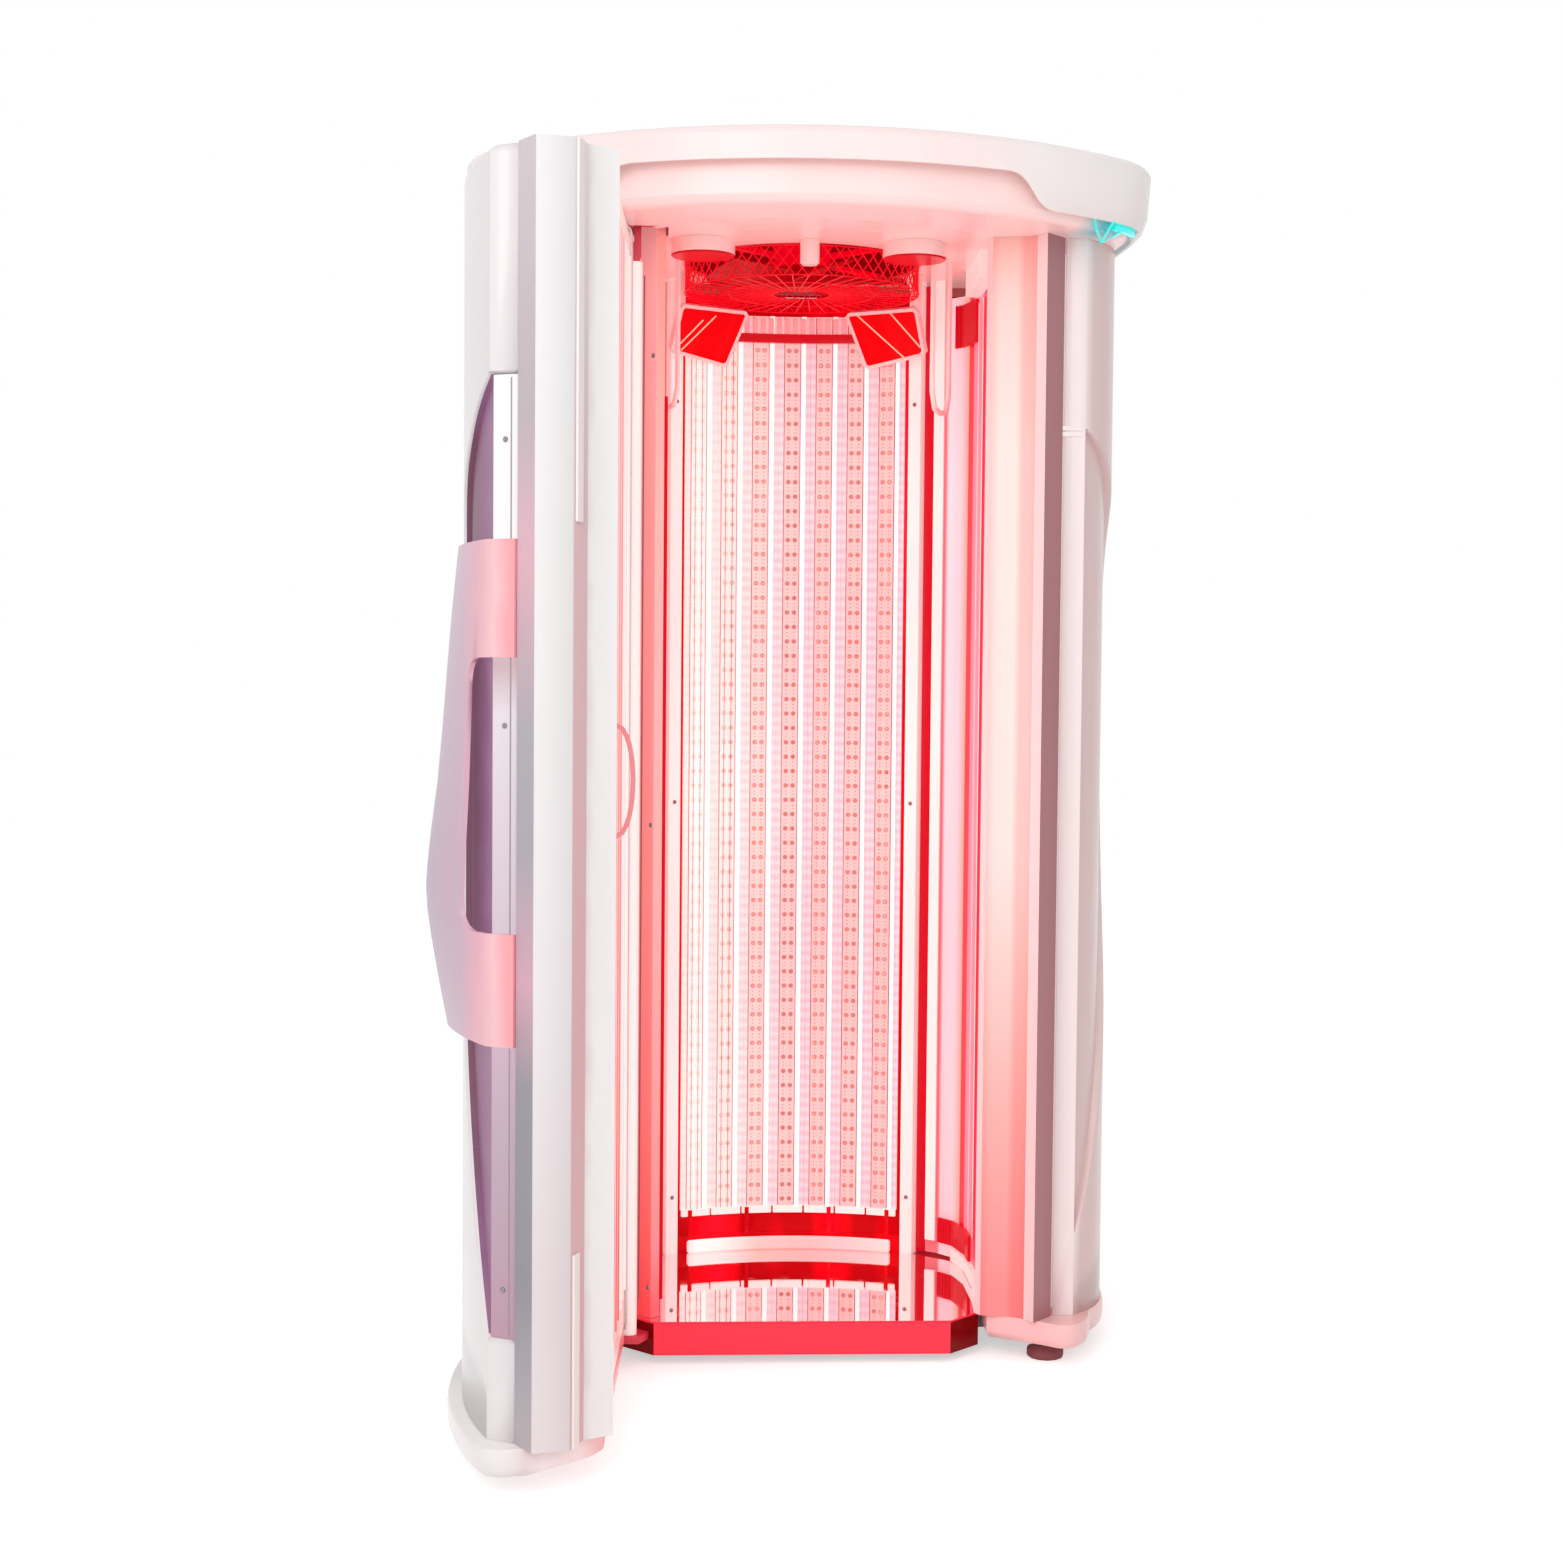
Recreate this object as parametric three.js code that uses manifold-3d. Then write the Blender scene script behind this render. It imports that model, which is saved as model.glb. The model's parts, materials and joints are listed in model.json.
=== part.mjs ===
// Walk-in light booth with one bulging hinged door, standing open as in the photo.
// Millimetres, +Z up, -Y is the entrance, origin on the floor under the middle of the platform.
import * as THREE from 'three';
import { mergeVertices } from 'three/addons/utils/BufferGeometryUtils.js';
import Module from 'manifold-3d';

const wasm = await Module();
wasm.setup();

// Heights above the floor
const GAP = 0.4;
const FOOT_TOP = 40;
const CHASSIS_TOP = FOOT_TOP + 36.6;
const FLOOR_TOP = CHASSIS_TOP + 3.4;
const PLINTH_TOP = FLOOR_TOP + 4.6;
const SHELL_BOTTOM = PLINTH_TOP + GAP;
const HEEL_TOP = FLOOR_TOP + 27;
const LAMP_BOTTOM = FLOOR_TOP + 86;
const ROOF_TOP = 2218;
const CANOPY_DEPTH = 130;
const CEILING = ROOF_TOP - CANOPY_DEPTH;
const DOOR_TOP = CEILING - 3;
const LAMP_TOP = CEILING - 66;

// Plan of the cabin: a rounded rectangle drawn as a superellipse
const SHELL_HALF_WIDTH = 596;
const SHELL_HALF_DEPTH = 405;
const SHELL_MIDDLE = 55;
const SHELL_POWER = 3.5;
const SHELL_WALL = 4;
const SEAM_ANGLE = 0.43;
const FRONT_ANGLE = -0.708;

// Platform
const BASE_FRONT = -279;
const BASE_HALF_FRONT = 277;
const BASE_CHAMFER = 60;
const SKIRT_BOTTOM = 17;
const SKIRT_WALL = 2.5;
const PLINTH_INNER = BASE_HALF_FRONT + BASE_CHAMFER + 11;

// Curved lamp wall at the back
const WALL_APEX = 294.6;
const WALL_RADIUS = 625.6;
const WALL_CENTRE = [0, WALL_APEX - WALL_RADIUS];
const LAMP_COUNT = 7;
const LAMP_PITCH = 66.5;
const LAMP_HALF_SPAN = LAMP_COUNT * LAMP_PITCH / 2;
const POST_ANGLE = (LAMP_HALF_SPAN + 25.5) / WALL_RADIUS;
const POST_HALF_ANGLE = 13.6 / WALL_RADIUS;

// Front arc shared by the door, its plinth and the canopy
const ARC_APEX = -547;
const DOOR_RADIUS = 828;
const CANOPY_RADIUS = DOOR_RADIUS + 22;
const ARC_CENTRE = [0, ARC_APEX + DOOR_RADIUS];

// Door hinge
const HINGE = [-322, -284];
const HINGE_TUBE_RADIUS = 13.5;
const DOOR_HINGE_EDGE = 13.7;
const DOOR_OPEN = THREE.MathUtils.degToRad(92);

// Scoop pressed into the door and the side shell: height above the floor and width from the edge
const SCOOP_DEPTH = 14;
const SCOOP = [[240, 2], [470, 95], [880, 248], [1250, 294], [1520, 262], [1660, 122], [1741, 2]];

// Door handle: height above the floor and how far it stands off the door
const HANDLE = [[703, 26], [790, 43], [880, 58], [930, 62], [1010, 55], [1130, 40], [1355, 22], [1485, 9]];
const HANDLE_SPAN = 350;
const HANDLE_CREST = 288;
const HANDLE_WALL = 7;
const HANDLE_SLOT = [878, 1304];

// Mains gland in the back cover: place round the shell and height above the floor
const GLAND_ANGLE = 1.2652;
const GLAND_HEIGHT = 150;

// Ceiling fan
const FAN_CENTRE = [0, 57];
const FAN_HOLE = 222;
const GUARD_RADIUS = 232;
const GUARD_BOTTOM = CEILING - 58;

const material = (name, color, roughness, metalness) => {
  const made = new THREE.MeshStandardMaterial({ color, roughness, metalness });
  made.name = name;
  return made;
};
const WHITE = material('gloss_white_plastic', 0xf4f1f1, 0.2, 0);
const SATIN = material('satin_white_plastic', 0xefe9ea, 0.45, 0);
const PINK = material('rose_tinted_plastic', 0xf2b9c0, 0.25, 0);
const ALUMINIUM = material('satin_aluminium', 0xd9d7dc, 0.35, 0.9);
const STEEL = material('painted_steel', 0x8c8f94, 0.5, 0.6);
const CHROME = material('polished_steel', 0xe4e4e6, 0.08, 1);
const SKIRT_RED = material('red_acrylic', 0xe8233f, 0.15, 0);
const LAMP = material('lamp_board', 0xf6a6a8, 0.4, 0.2);
const LENS_RED = material('red_lens', 0xe50914, 0.15, 0);
const LENS_CYAN = material('cyan_lens', 0x35d6d0, 0.2, 0);
const RUBBER = material('black_rubber', 0x2c2a2b, 0.8, 0);

const booth = new THREE.Group();
booth.name = 'light_booth';

// Points from a function of a 0..1 fraction
const sweep = (count, at) => Array.from({ length: count + 1 }, (_, i) => at(i / count));
const mix = (a, b, f) => a + (b - a) * f;
const mirrored = (points) => points.map(([x, y]) => [-x, y]).reverse();
const polar = ([x, y], radius, angle) => [x + radius * Math.sin(angle), y + radius * Math.cos(angle)];
const arc = (centre, radius, from, to, count) =>
  sweep(count, (f) => polar(centre, radius, mix(from, to, f)));
const onFrontArc = (radius, x) => [x, ARC_CENTRE[1] - Math.sqrt(radius ** 2 - x ** 2)];
const frontArc = (radius, from, to, count) =>
  sweep(count, (f) => onFrontArc(radius, mix(from, to, f)));
const shellPoint = (angle, grow = 0) => {
  const reach = (v, half) => (half + grow) * Math.sign(v) * Math.abs(v) ** (2 / SHELL_POWER);
  return [
    reach(Math.cos(angle), SHELL_HALF_WIDTH),
    SHELL_MIDDLE + reach(Math.sin(angle), SHELL_HALF_DEPTH),
  ];
};
const shellArc = (from, to, count, grow = 0) =>
  sweep(count, (f) => shellPoint(mix(from, to, f), grow));

// A path moved to its left by a distance, corners mitred
const offset = (path, distance, closed = false) => path.map((point, i) => {
  const last = path.length - 1;
  const before = path[i > 0 ? i - 1 : closed ? last : 0];
  const after = path[i < last ? i + 1 : closed ? 0 : last];
  const normal = (a, b) => {
    const size = Math.hypot(b[0] - a[0], b[1] - a[1]);
    return size > 0 ? [(a[1] - b[1]) / size, (b[0] - a[0]) / size] : null;
  };
  const first = normal(before, point) ?? normal(point, after);
  const second = normal(point, after) ?? first;
  const share = 1 + first[0] * second[0] + first[1] * second[1];
  return [0, 1].map((k) => point[k] + distance * (first[k] + second[k]) / share);
});
const band = (path, near, far) => [...offset(path, near), ...offset(path, far).reverse()];

// Length along a path and the point at a length, moved to the left by a distance
const runs = (path) => {
  const total = [0];
  path.slice(1).forEach((p, i) => total.push(total[i] + Math.hypot(p[0] - path[i][0], p[1] - path[i][1])));
  return total;
};
const pathLength = (path) => runs(path).at(-1);
const pointOn = (path, length, distance = 0) => {
  const total = runs(path);
  const found = total.findIndex((run) => run > length);
  const i = found < 0 ? path.length - 2 : Math.max(found - 1, 0);
  const moved = offset(path, distance);
  const f = (length - total[i]) / (total[i + 1] - total[i]);
  return [0, 1].map((k) => mix(moved[i][k], moved[i + 1][k], f));
};
const piece = (path, from, to, count) => sweep(count, (f) => pointOn(path, mix(from, to, f)));

// A smooth curve through height and width pairs, read at a height
const profile = (pairs) => {
  const curve = new THREE.SplineCurve(pairs.map(([z, w]) => new THREE.Vector2(z, w)));
  const points = curve.getPoints(120);
  return (z) => {
    const found = points.findIndex((p) => p.x >= z);
    const i = found < 0 ? points.length - 1 : Math.max(found, 1);
    const f = (z - points[i - 1].x) / (points[i].x - points[i - 1].x);
    return mix(points[i - 1].y, points[i].y, Math.min(Math.max(f, 0), 1));
  };
};

const shapeOf = (points) => new THREE.Shape(points.map(([x, y]) => new THREE.Vector2(x, y)));
const extruded = (shape, depth, segments = 8) =>
  new THREE.ExtrudeGeometry(shape, { depth, bevelEnabled: false, curveSegments: segments });
const prism = (points, bottom, top) => extruded(shapeOf(points), top - bottom).translate(0, 0, bottom);
const sideCut = (shape, front, back) =>
  extruded(shape, back - front).rotateX(Math.PI / 2).translate(0, back, 0);
const box = (x0, x1, y0, y1, z0, z1) => prism([[x0, y0], [x1, y0], [x1, y1], [x0, y1]], z0, z1);
const turned = (points, centre, count) =>
  new THREE.LatheGeometry(points.map(([r, z]) => new THREE.Vector2(r, z)), count)
    .rotateX(Math.PI / 2).translate(centre[0], centre[1], 0);
const ring = (inner, outer, bottom, top, centre, count) =>
  turned([[inner, bottom], [outer, bottom], [outer, top], [inner, top], [inner, bottom]], centre, count);
const disc = (radius, bottom, top, centre, count) =>
  turned([[0, bottom], [radius, bottom], [radius, top], [0, top]], centre, count);
const rod = (curve, radius, steps, sides = 8) => {
  const round = new THREE.Shape().absarc(0, 0, radius, 0, 2 * Math.PI);
  return new THREE.ExtrudeGeometry(round, { extrudePath: curve, steps, curveSegments: sides });
};

// Skin through a stack of outlines with the same number of points, ends capped
const loft = (outlines) => {
  const count = outlines[0].length;
  const points = outlines.flat();
  const faces = [];
  for (let level = 0; level < outlines.length - 1; level++) {
    for (let i = 0; i < count; i++) {
      const a = level * count + i;
      const b = level * count + (i + 1) % count;
      faces.push([a, b, b + count], [a, b + count, a + count]);
    }
  }
  const cap = (level) => THREE.ShapeUtils.triangulateShape(
    outlines[level].map(([x, y]) => new THREE.Vector2(x, y)), [],
  ).map((face) => face.map((i) => i + level * count));
  faces.push(...cap(0).map(([a, b, c]) => [c, b, a]), ...cap(outlines.length - 1));
  const volume = faces.reduce((sum, face) => {
    const [a, b, c] = face.map((i) => new THREE.Vector3(...points[i]));
    return sum + a.dot(b.cross(c));
  }, 0);
  const geometry = new THREE.BufferGeometry();
  geometry.setAttribute('position', new THREE.Float32BufferAttribute(points.flat(), 3));
  geometry.setIndex((volume < 0 ? faces.map(([a, b, c]) => [c, b, a]) : faces).flat());
  return geometry;
};
const stack = (points, levels) =>
  loft(levels.map(([z, inset]) => offset(points, inset, true).map(([x, y]) => [x, y, z])));
// A sheet that follows a path round its corner, with its ends and both faces free to change with height
const skinLoft = (path, heights, from, corner, to, outer, inner, steps) => loft(heights.map((z) => {
  const [before, after] = steps;
  const lengths = [
    ...sweep(before, (f) => mix(from(z), corner, f)),
    ...sweep(after, (f) => mix(corner, to(z), f)).slice(1),
  ];
  const face = (depth) => lengths.map((length) => [...pointOn(path, length, depth(length, z)), z]);
  return [...face(outer), ...face(inner).reverse()];
}));

const solid = (geometry) => {
  const bare = geometry.clone();
  bare.deleteAttribute('normal');
  bare.deleteAttribute('uv');
  const merged = mergeVertices(bare, 1e-3);
  const corners = [...merged.index.array];
  const faces = corners.filter((_, i) => {
    const [a, b, c] = corners.slice(i - i % 3, i - i % 3 + 3);
    return a !== b && b !== c && c !== a;
  });
  return new wasm.Manifold(new wasm.Mesh({
    numProp: 3,
    vertProperties: new Float32Array(merged.attributes.position.array),
    triVerts: new Uint32Array(faces),
  }));
};
const joined = (...shapes) => shapes.map(solid).reduce((all, next) => all.add(next));
const plain = (body) => {
  const { vertProperties, triVerts } = body.getMesh();
  const geometry = new THREE.BufferGeometry();
  geometry.setAttribute('position', new THREE.Float32BufferAttribute(vertProperties, 3));
  geometry.setIndex([...triVerts]);
  return geometry;
};
const add = (name, shape, finish, parent = booth) => {
  const geometry = plain(shape instanceof THREE.BufferGeometry ? solid(shape) : shape);
  geometry.computeVertexNormals();
  const mesh = new THREE.Mesh(geometry, finish);
  mesh.name = name;
  parent.add(mesh);
  return mesh;
};

// Levelling feet: a rubber pad under a short stem
const stemTop = FOOT_TOP - GAP;
const footProfile = [[0, 0], [32, 0], [35, 4], [35, 16], [15, 26], [15, stemTop], [0, stemTop]];
const feet = {
  foot_centre: [0, 0],
  foot_front_right: [462, -238],
  foot_front_left: [-462, -238],
  foot_rear_right: [420, 320],
  foot_rear_left: [-420, 320],
};
for (const [name, centre] of Object.entries(feet)) {
  add(name, turned(footProfile, centre, 12), RUBBER);
}

// Platform: folded steel chassis with a hinge tab, red skirt, mirror floor
const baseEdge = [
  [-BASE_HALF_FRONT - BASE_CHAMFER, BASE_FRONT + BASE_CHAMFER],
  [-BASE_HALF_FRONT, BASE_FRONT],
  [BASE_HALF_FRONT, BASE_FRONT],
  [BASE_HALF_FRONT + BASE_CHAMFER, BASE_FRONT + BASE_CHAMFER],
];
const chassisSide = shellArc(-0.47, Math.PI / 2, 12, -32);
const chassisEdge = [
  ...offset(baseEdge, SKIRT_WALL + GAP),
  [PLINTH_INNER - 8, BASE_FRONT + 97],
  ...chassisSide,
  ...mirrored(chassisSide).slice(1),
  [8 - PLINTH_INNER, BASE_FRONT + 97],
];
const hingeTab = [
  [-BASE_HALF_FRONT - 7, BASE_FRONT + 15], [-BASE_HALF_FRONT - 53, BASE_FRONT + 61],
  [HINGE[0] - 24, HINGE[1] + 22], [HINGE[0] - 19, HINGE[1] - 18], [HINGE[0] + 18, HINGE[1] - 21],
];
const TAB_BOTTOM = FOOT_TOP + 6;
const TAB_TOP = FOOT_TOP + 19;
const hingePin = (bottom, top) => disc(8.6, bottom, top, HINGE, 16);
const footSocket = (name) => disc(45, FOOT_TOP, CHASSIS_TOP - 1, feet[name], 14);
const chassis = solid(prism(chassisEdge, FOOT_TOP, CHASSIS_TOP))
  .subtract(solid(prism(offset(chassisEdge, 3, true), FOOT_TOP - 1, CHASSIS_TOP - 3)))
  .add(joined(...['foot_centre', 'foot_rear_right', 'foot_rear_left'].map(footSocket)))
  .add(joined(prism(hingeTab, TAB_BOTTOM, TAB_TOP), hingePin(TAB_BOTTOM + 4, TAB_TOP + 17)));
add('base_chassis', chassis, STEEL);
const skirt = solid(prism(band(baseEdge, 0, SKIRT_WALL), SKIRT_BOTTOM, CHASSIS_TOP))
  .subtract(solid(prism(offset(hingeTab, -GAP, true), TAB_BOTTOM - GAP, TAB_TOP + GAP)));
add('base_skirt', skirt, SKIRT_RED);

const floorTurn = (LAMP_HALF_SPAN + 50) / WALL_RADIUS;
const floorBack = arc(WALL_CENTRE, WALL_RADIUS - 20.1, floorTurn, -floorTurn, 20);
const floorSide = [[PLINTH_INNER - 3, BASE_FRONT + 89], [PLINTH_INNER - 3, 92], [PLINTH_INNER - 20, 158]];
const floorEdge = [...offset(baseEdge, 0.5), ...floorSide, ...floorBack, ...mirrored(floorSide)];
add('floor_plate', prism(floorEdge, CHASSIS_TOP + GAP, FLOOR_TOP), CHROME);

// Plinths: moulded foot covers, the right one with a rounded lobe in front
const plinthSide = shellArc(-0.56, SEAM_ANGLE, 9, 6);
const plinthInner = shellArc(-0.484, SEAM_ANGLE, 12, -31.6).reverse();
const rightPlinth = [
  [PLINTH_INNER, BASE_FRONT + 27], [440, -309], [466, -331], [486, -337],
  [504, -331], [527, -304], [540, -268],
  ...plinthSide, ...plinthInner, [PLINTH_INNER, BASE_FRONT + 92.8],
];
const plinthLevels = [
  [FOOT_TOP, 8], [FOOT_TOP + 6, 2], [FOOT_TOP + 14, 0], [PLINTH_TOP - 8.6, 0], [PLINTH_TOP, 3],
];
add('right_plinth', stack(rightPlinth, plinthLevels), WHITE);
const leftPlinth = mirrored([
  [PLINTH_INNER, BASE_FRONT + 15], [505, -268], [530, -258],
  ...plinthSide, ...plinthInner, [PLINTH_INNER, BASE_FRONT + 92.8],
]);
add('left_plinth', stack(leftPlinth, plinthLevels), WHITE);

// Scoop: a sunken panel in a shell, wide in the upper half and running out to a point below
const scoopWidth = profile(SCOOP);
const scoopHeights = (grow) => sweep(11, (f) => mix(SCOOP[0][0] - grow, SCOOP.at(-1)[0] + grow, f));
const withScoop = (shell, path, from, corner, to, counts) => {
  const width = (z) => scoopWidth(Math.min(Math.max(z, SCOOP[0][0]), SCOOP.at(-1)[0]));
  const lens = (grow, outer, inner) => solid(skinLoft(path, scoopHeights(grow),
    (z) => from(width(z), grow), corner, (z) => to(width(z), grow), () => outer, () => inner, counts));
  return shell.add(lens(5, SHELL_WALL - 0.5, SCOOP_DEPTH + 4)).subtract(lens(0, -3, SCOOP_DEPTH));
};

// Side shells and back cover
const rightCorner = shellPoint(FRONT_ANGLE);
const shellSide = shellArc(FRONT_ANGLE, SEAM_ANGLE, 16);
const rightShellPath = [[470, rightCorner[1] - 5], ...shellSide];
const rightFlange = Math.hypot(rightCorner[0] - 470, 5);
const shellTop = CEILING - GAP;
const rightShell = withScoop(
  solid(prism(band(rightShellPath, 0, SHELL_WALL), SHELL_BOTTOM, shellTop)),
  rightShellPath,
  (_, grow) => rightFlange - 2 - grow,
  rightFlange,
  (width, grow) => rightFlange + 4 + width + grow,
  [1, 9],
);
add('right_side_shell', rightShell, WHITE);
const leftShellPath = mirrored([[PLINTH_INNER, rightCorner[1] + 4], ...shellSide]);
add('left_side_shell', prism(band(leftShellPath, 0, SHELL_WALL), SHELL_BOTTOM, shellTop), WHITE);
const coverPath = shellArc(SEAM_ANGLE + 0.003, Math.PI - SEAM_ANGLE - 0.003, 26);
const glandWall = shellPoint(GLAND_ANGLE);
const atGland = (shape) =>
  shape.rotateX(-Math.PI / 2).translate(glandWall[0], glandWall[1] - 22, GLAND_HEIGHT);
const coverSheet = prism(band(coverPath, 0, SHELL_WALL), FOOT_TOP + 20, shellTop);
const glandHole = atGland(disc(13.4, 0, 40, [0, 0], 20));
add('back_cover', solid(coverSheet).subtract(solid(glandHole)), WHITE);

// Right front edge: satin aluminium nose that the door closes against
const rightNose = [[326, -246], [334, -262], [400, -276], [412, -288], [426, -316], [466, -268.5]];
add('right_nose_profile', prism(band(rightNose, 0, 4), SHELL_BOTTOM, shellTop), ALUMINIUM);
const leftPost = [[-283, -257], [-266, -240], [-296, -210], [-313, -227]];
add('left_front_post', prism(leftPost, FLOOR_TOP + GAP, CEILING + 24), SATIN);

// Back lamp wall: reflector with its foot rail, lamp boards, trim posts and top rail
const wallLimit = POST_ANGLE - POST_HALF_ANGLE - 0.0008;
const wallBand = (inner, outer, limit) => [
  ...arc(WALL_CENTRE, WALL_RADIUS + outer, limit, -limit, 16),
  ...arc(WALL_CENTRE, WALL_RADIUS + inner, -limit, limit, 16),
];
const footPosts = [-213, -88, 88, 213].map((middle) => {
  const from = (middle - 4.4) / WALL_RADIUS;
  const to = (middle + 4.4) / WALL_RADIUS;
  return prism([
    ...arc(WALL_CENTRE, WALL_RADIUS - 11.6, from, to, 1),
    ...arc(WALL_CENTRE, WALL_RADIUS + 1.4, to, from, 1),
  ], CHASSIS_TOP + GAP, LAMP_BOTTOM - GAP);
});
add('back_reflector', joined(
  prism(wallBand(0.4, 2.4, wallLimit), CHASSIS_TOP + GAP, LAMP_TOP + 40),
  prism(wallBand(-11.6, 1.4, wallLimit), CHASSIS_TOP + GAP, HEEL_TOP + 5),
  ...footPosts,
), STEEL);
const boardEnd = LAMP_PITCH - 0.5;
const ribMiddle = LAMP_PITCH - 14;
const ledEnd = ribMiddle - 7.5;
const boardSection = [
  [0.5, 0], [boardEnd, 0], [boardEnd, 5], [ribMiddle + 6, 5], [ribMiddle + 3.5, 11], [ribMiddle - 3.5, 11],
  [ribMiddle - 6, 5], [ledEnd, 5], [ledEnd, 7], [4, 7], [4, 5], [0.5, 5],
];
for (let i = 0; i < LAMP_COUNT; i++) {
  const middle = (i - (LAMP_COUNT - 1) / 2) * LAMP_PITCH / WALL_RADIUS;
  const [x, y] = polar(WALL_CENTRE, WALL_RADIUS, middle);
  const section = boardSection.map(([s, depth]) => [s - LAMP_PITCH / 2, -depth - 0.9]);
  const board = prism(section, LAMP_BOTTOM, LAMP_TOP).rotateZ(-middle).translate(x, y, 0);
  add(`back_lamp_${i + 1}`, board, LAMP);
}
const trimPost = [
  ...arc(WALL_CENTRE, WALL_RADIUS + 15.4, POST_ANGLE - POST_HALF_ANGLE, POST_ANGLE + POST_HALF_ANGLE, 2),
  ...arc(WALL_CENTRE, WALL_RADIUS - 19.6, POST_ANGLE + POST_HALF_ANGLE, POST_ANGLE - POST_HALF_ANGLE, 2),
];
add('right_trim_post', prism(trimPost, CHASSIS_TOP + GAP, shellTop), SATIN);
add('left_trim_post', prism(mirrored(trimPost), CHASSIS_TOP + GAP, shellTop), SATIN);
add('lamp_top_rail', prism(wallBand(-25.6, -12.6, wallLimit), LAMP_TOP - 56, LAMP_TOP - 38), LENS_RED);
const heelBand = wallBand(-32.6, -21.1, (LAMP_HALF_SPAN - 8) / WALL_RADIUS);
const heelLevels = [[FLOOR_TOP + GAP, 2], [FLOOR_TOP + 4, 0], [HEEL_TOP - 4, 0], [HEEL_TOP, 3]];
add('heel_rail', stack(heelBand, heelLevels), SATIN);

// Side lamp panels: curved board with reflector ribs, a heel strip below and a header block above
const sidePath = [
  [PLINTH_INNER - 2, BASE_FRONT + 73], [PLINTH_INNER + 9, -60], [PLINTH_INNER + 9, 84],
  [PLINTH_INNER - 8, 162], [LAMP_HALF_SPAN + 72, 208], [LAMP_HALF_SPAN + 52, 222],
];
const sideLength = pathLength(sidePath);
const sideRibs = [70, 135, 200, 265].map((start) =>
  prism(band(piece(sidePath, start, start + 11, 2), -0.5, 4.5), LAMP_BOTTOM, LAMP_TOP));
const sidePanel = joined(
  prism(band(sidePath, -9, 0), SHELL_BOTTOM, LAMP_TOP + 28),
  ...sideRibs,
  prism(band(piece(sidePath, 30, 370, 8), -0.5, 11), FLOOR_TOP + GAP, HEEL_TOP),
  prism(band(piece(sidePath, 60, 300, 6), -0.5, 26), LAMP_TOP + 14, shellTop),
  prism(band(piece(sidePath, sideLength - 26, sideLength - 3, 1), -0.5, 8), HEEL_TOP + 5, shellTop),
);
add('right_lamp_panel', sidePanel, LAMP);
add('left_lamp_panel', sidePanel.mirror([1, 0, 0]), LAMP);

// Power supply in the space behind the lamp wall, and the mains gland in the back cover
add('power_supply', joined(
  box(-150, 150, WALL_APEX + 28, WALL_APEX + 118, CHASSIS_TOP + GAP, 330),
  ...sweep(8, (f) => box(mix(-140, 136, f), mix(-136, 140, f), WALL_APEX + 18, WALL_APEX + 30, 90, 320)),
), STEEL);
const glandProfile = [
  [0, 0], [9, 0], [9, 4], [20, 4], [20, 14], [13, 14], [13, 26], [20, 26], [20, 34], [0, 34],
];
add('mains_gland', atGland(turned(glandProfile, [0, 0], 12)), RUBBER);

// Canopy: a deep lid with an S-shaped lip over a ceiling tray
const canopyCorner = (f) => {
  const corner = new THREE.QuadraticBezierCurve(
    new THREE.Vector2(...onFrontArc(CANOPY_RADIUS, 555)),
    new THREE.Vector2(634, -306),
    new THREE.Vector2(632, -190),
  );
  return corner.getPoint(f).toArray();
};
const canopyHalf = [
  ...frontArc(CANOPY_RADIUS, 0, 530, 8),
  ...sweep(6, canopyCorner),
  ...shellArc(0.02, Math.PI / 2, 11, 20),
];
const canopyEdge = [...canopyHalf, ...mirrored(canopyHalf).slice(1, -1)];
const lid = stack(canopyEdge, [
  [ROOF_TOP, 30], [ROOF_TOP - 1.5, 16], [ROOF_TOP - 7, 6], [ROOF_TOP - 16, 0],
  [CEILING + 42, 5], [CEILING + 16, 14], [CEILING, 30],
  [CEILING, 35], [CEILING + 16, 19], [CEILING + 42, 10], [ROOF_TOP - 18, 6], [ROOF_TOP - 5, 30],
]);
const lipCut = new THREE.Shape();
const lipLow = CEILING + 13;
const lipHigh = CEILING + 70;
const lipEnd = SHELL_HALF_WIDTH + 84;
lipCut.moveTo(-lipEnd, CEILING - 88).lineTo(lipEnd, CEILING - 88)
  .lineTo(lipEnd, lipLow).lineTo(418, lipLow)
  .bezierCurveTo(372, lipLow, 372, lipHigh, 330, lipHigh).lineTo(-330, lipHigh)
  .bezierCurveTo(-372, lipHigh, -372, lipLow, -418, lipLow).lineTo(-lipEnd, lipLow);
add('canopy_lid', solid(lid).subtract(solid(sideCut(lipCut, -700, -262))), WHITE);

const [pinX, pinY] = HINGE;
const pocket = box(pinX - 30, pinX + 60, pinY - 28, pinY + 80, CEILING - 10, CEILING + 10);
const tray = stack(canopyEdge, [
  [CEILING, 58], [CEILING + 1.5, 48], [CEILING + 7, 40], [CEILING + 18, 35], [ROOF_TOP - 5.4, 34],
  [ROOF_TOP - 5.4, 38], [CEILING + 20, 39], [CEILING + 4, 56],
]);
const ceilingTray = solid(tray)
  .subtract(solid(disc(FAN_HOLE, CEILING - 10, CEILING + 10, FAN_CENTRE, 48)))
  .subtract(solid(pocket));
add('ceiling_tray', ceilingTray, WHITE);
const lensPath = sweep(6, (f) => canopyCorner(mix(0.05, 0.57, f)));
const accentLens = band(lensPath, 26, 34.4);
add('right_accent_lens', prism(accentLens, CEILING + 2, CEILING + 24), LENS_CYAN);
add('left_accent_lens', prism(mirrored(accentLens), CEILING + 2, CEILING + 24), LENS_CYAN);

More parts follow.
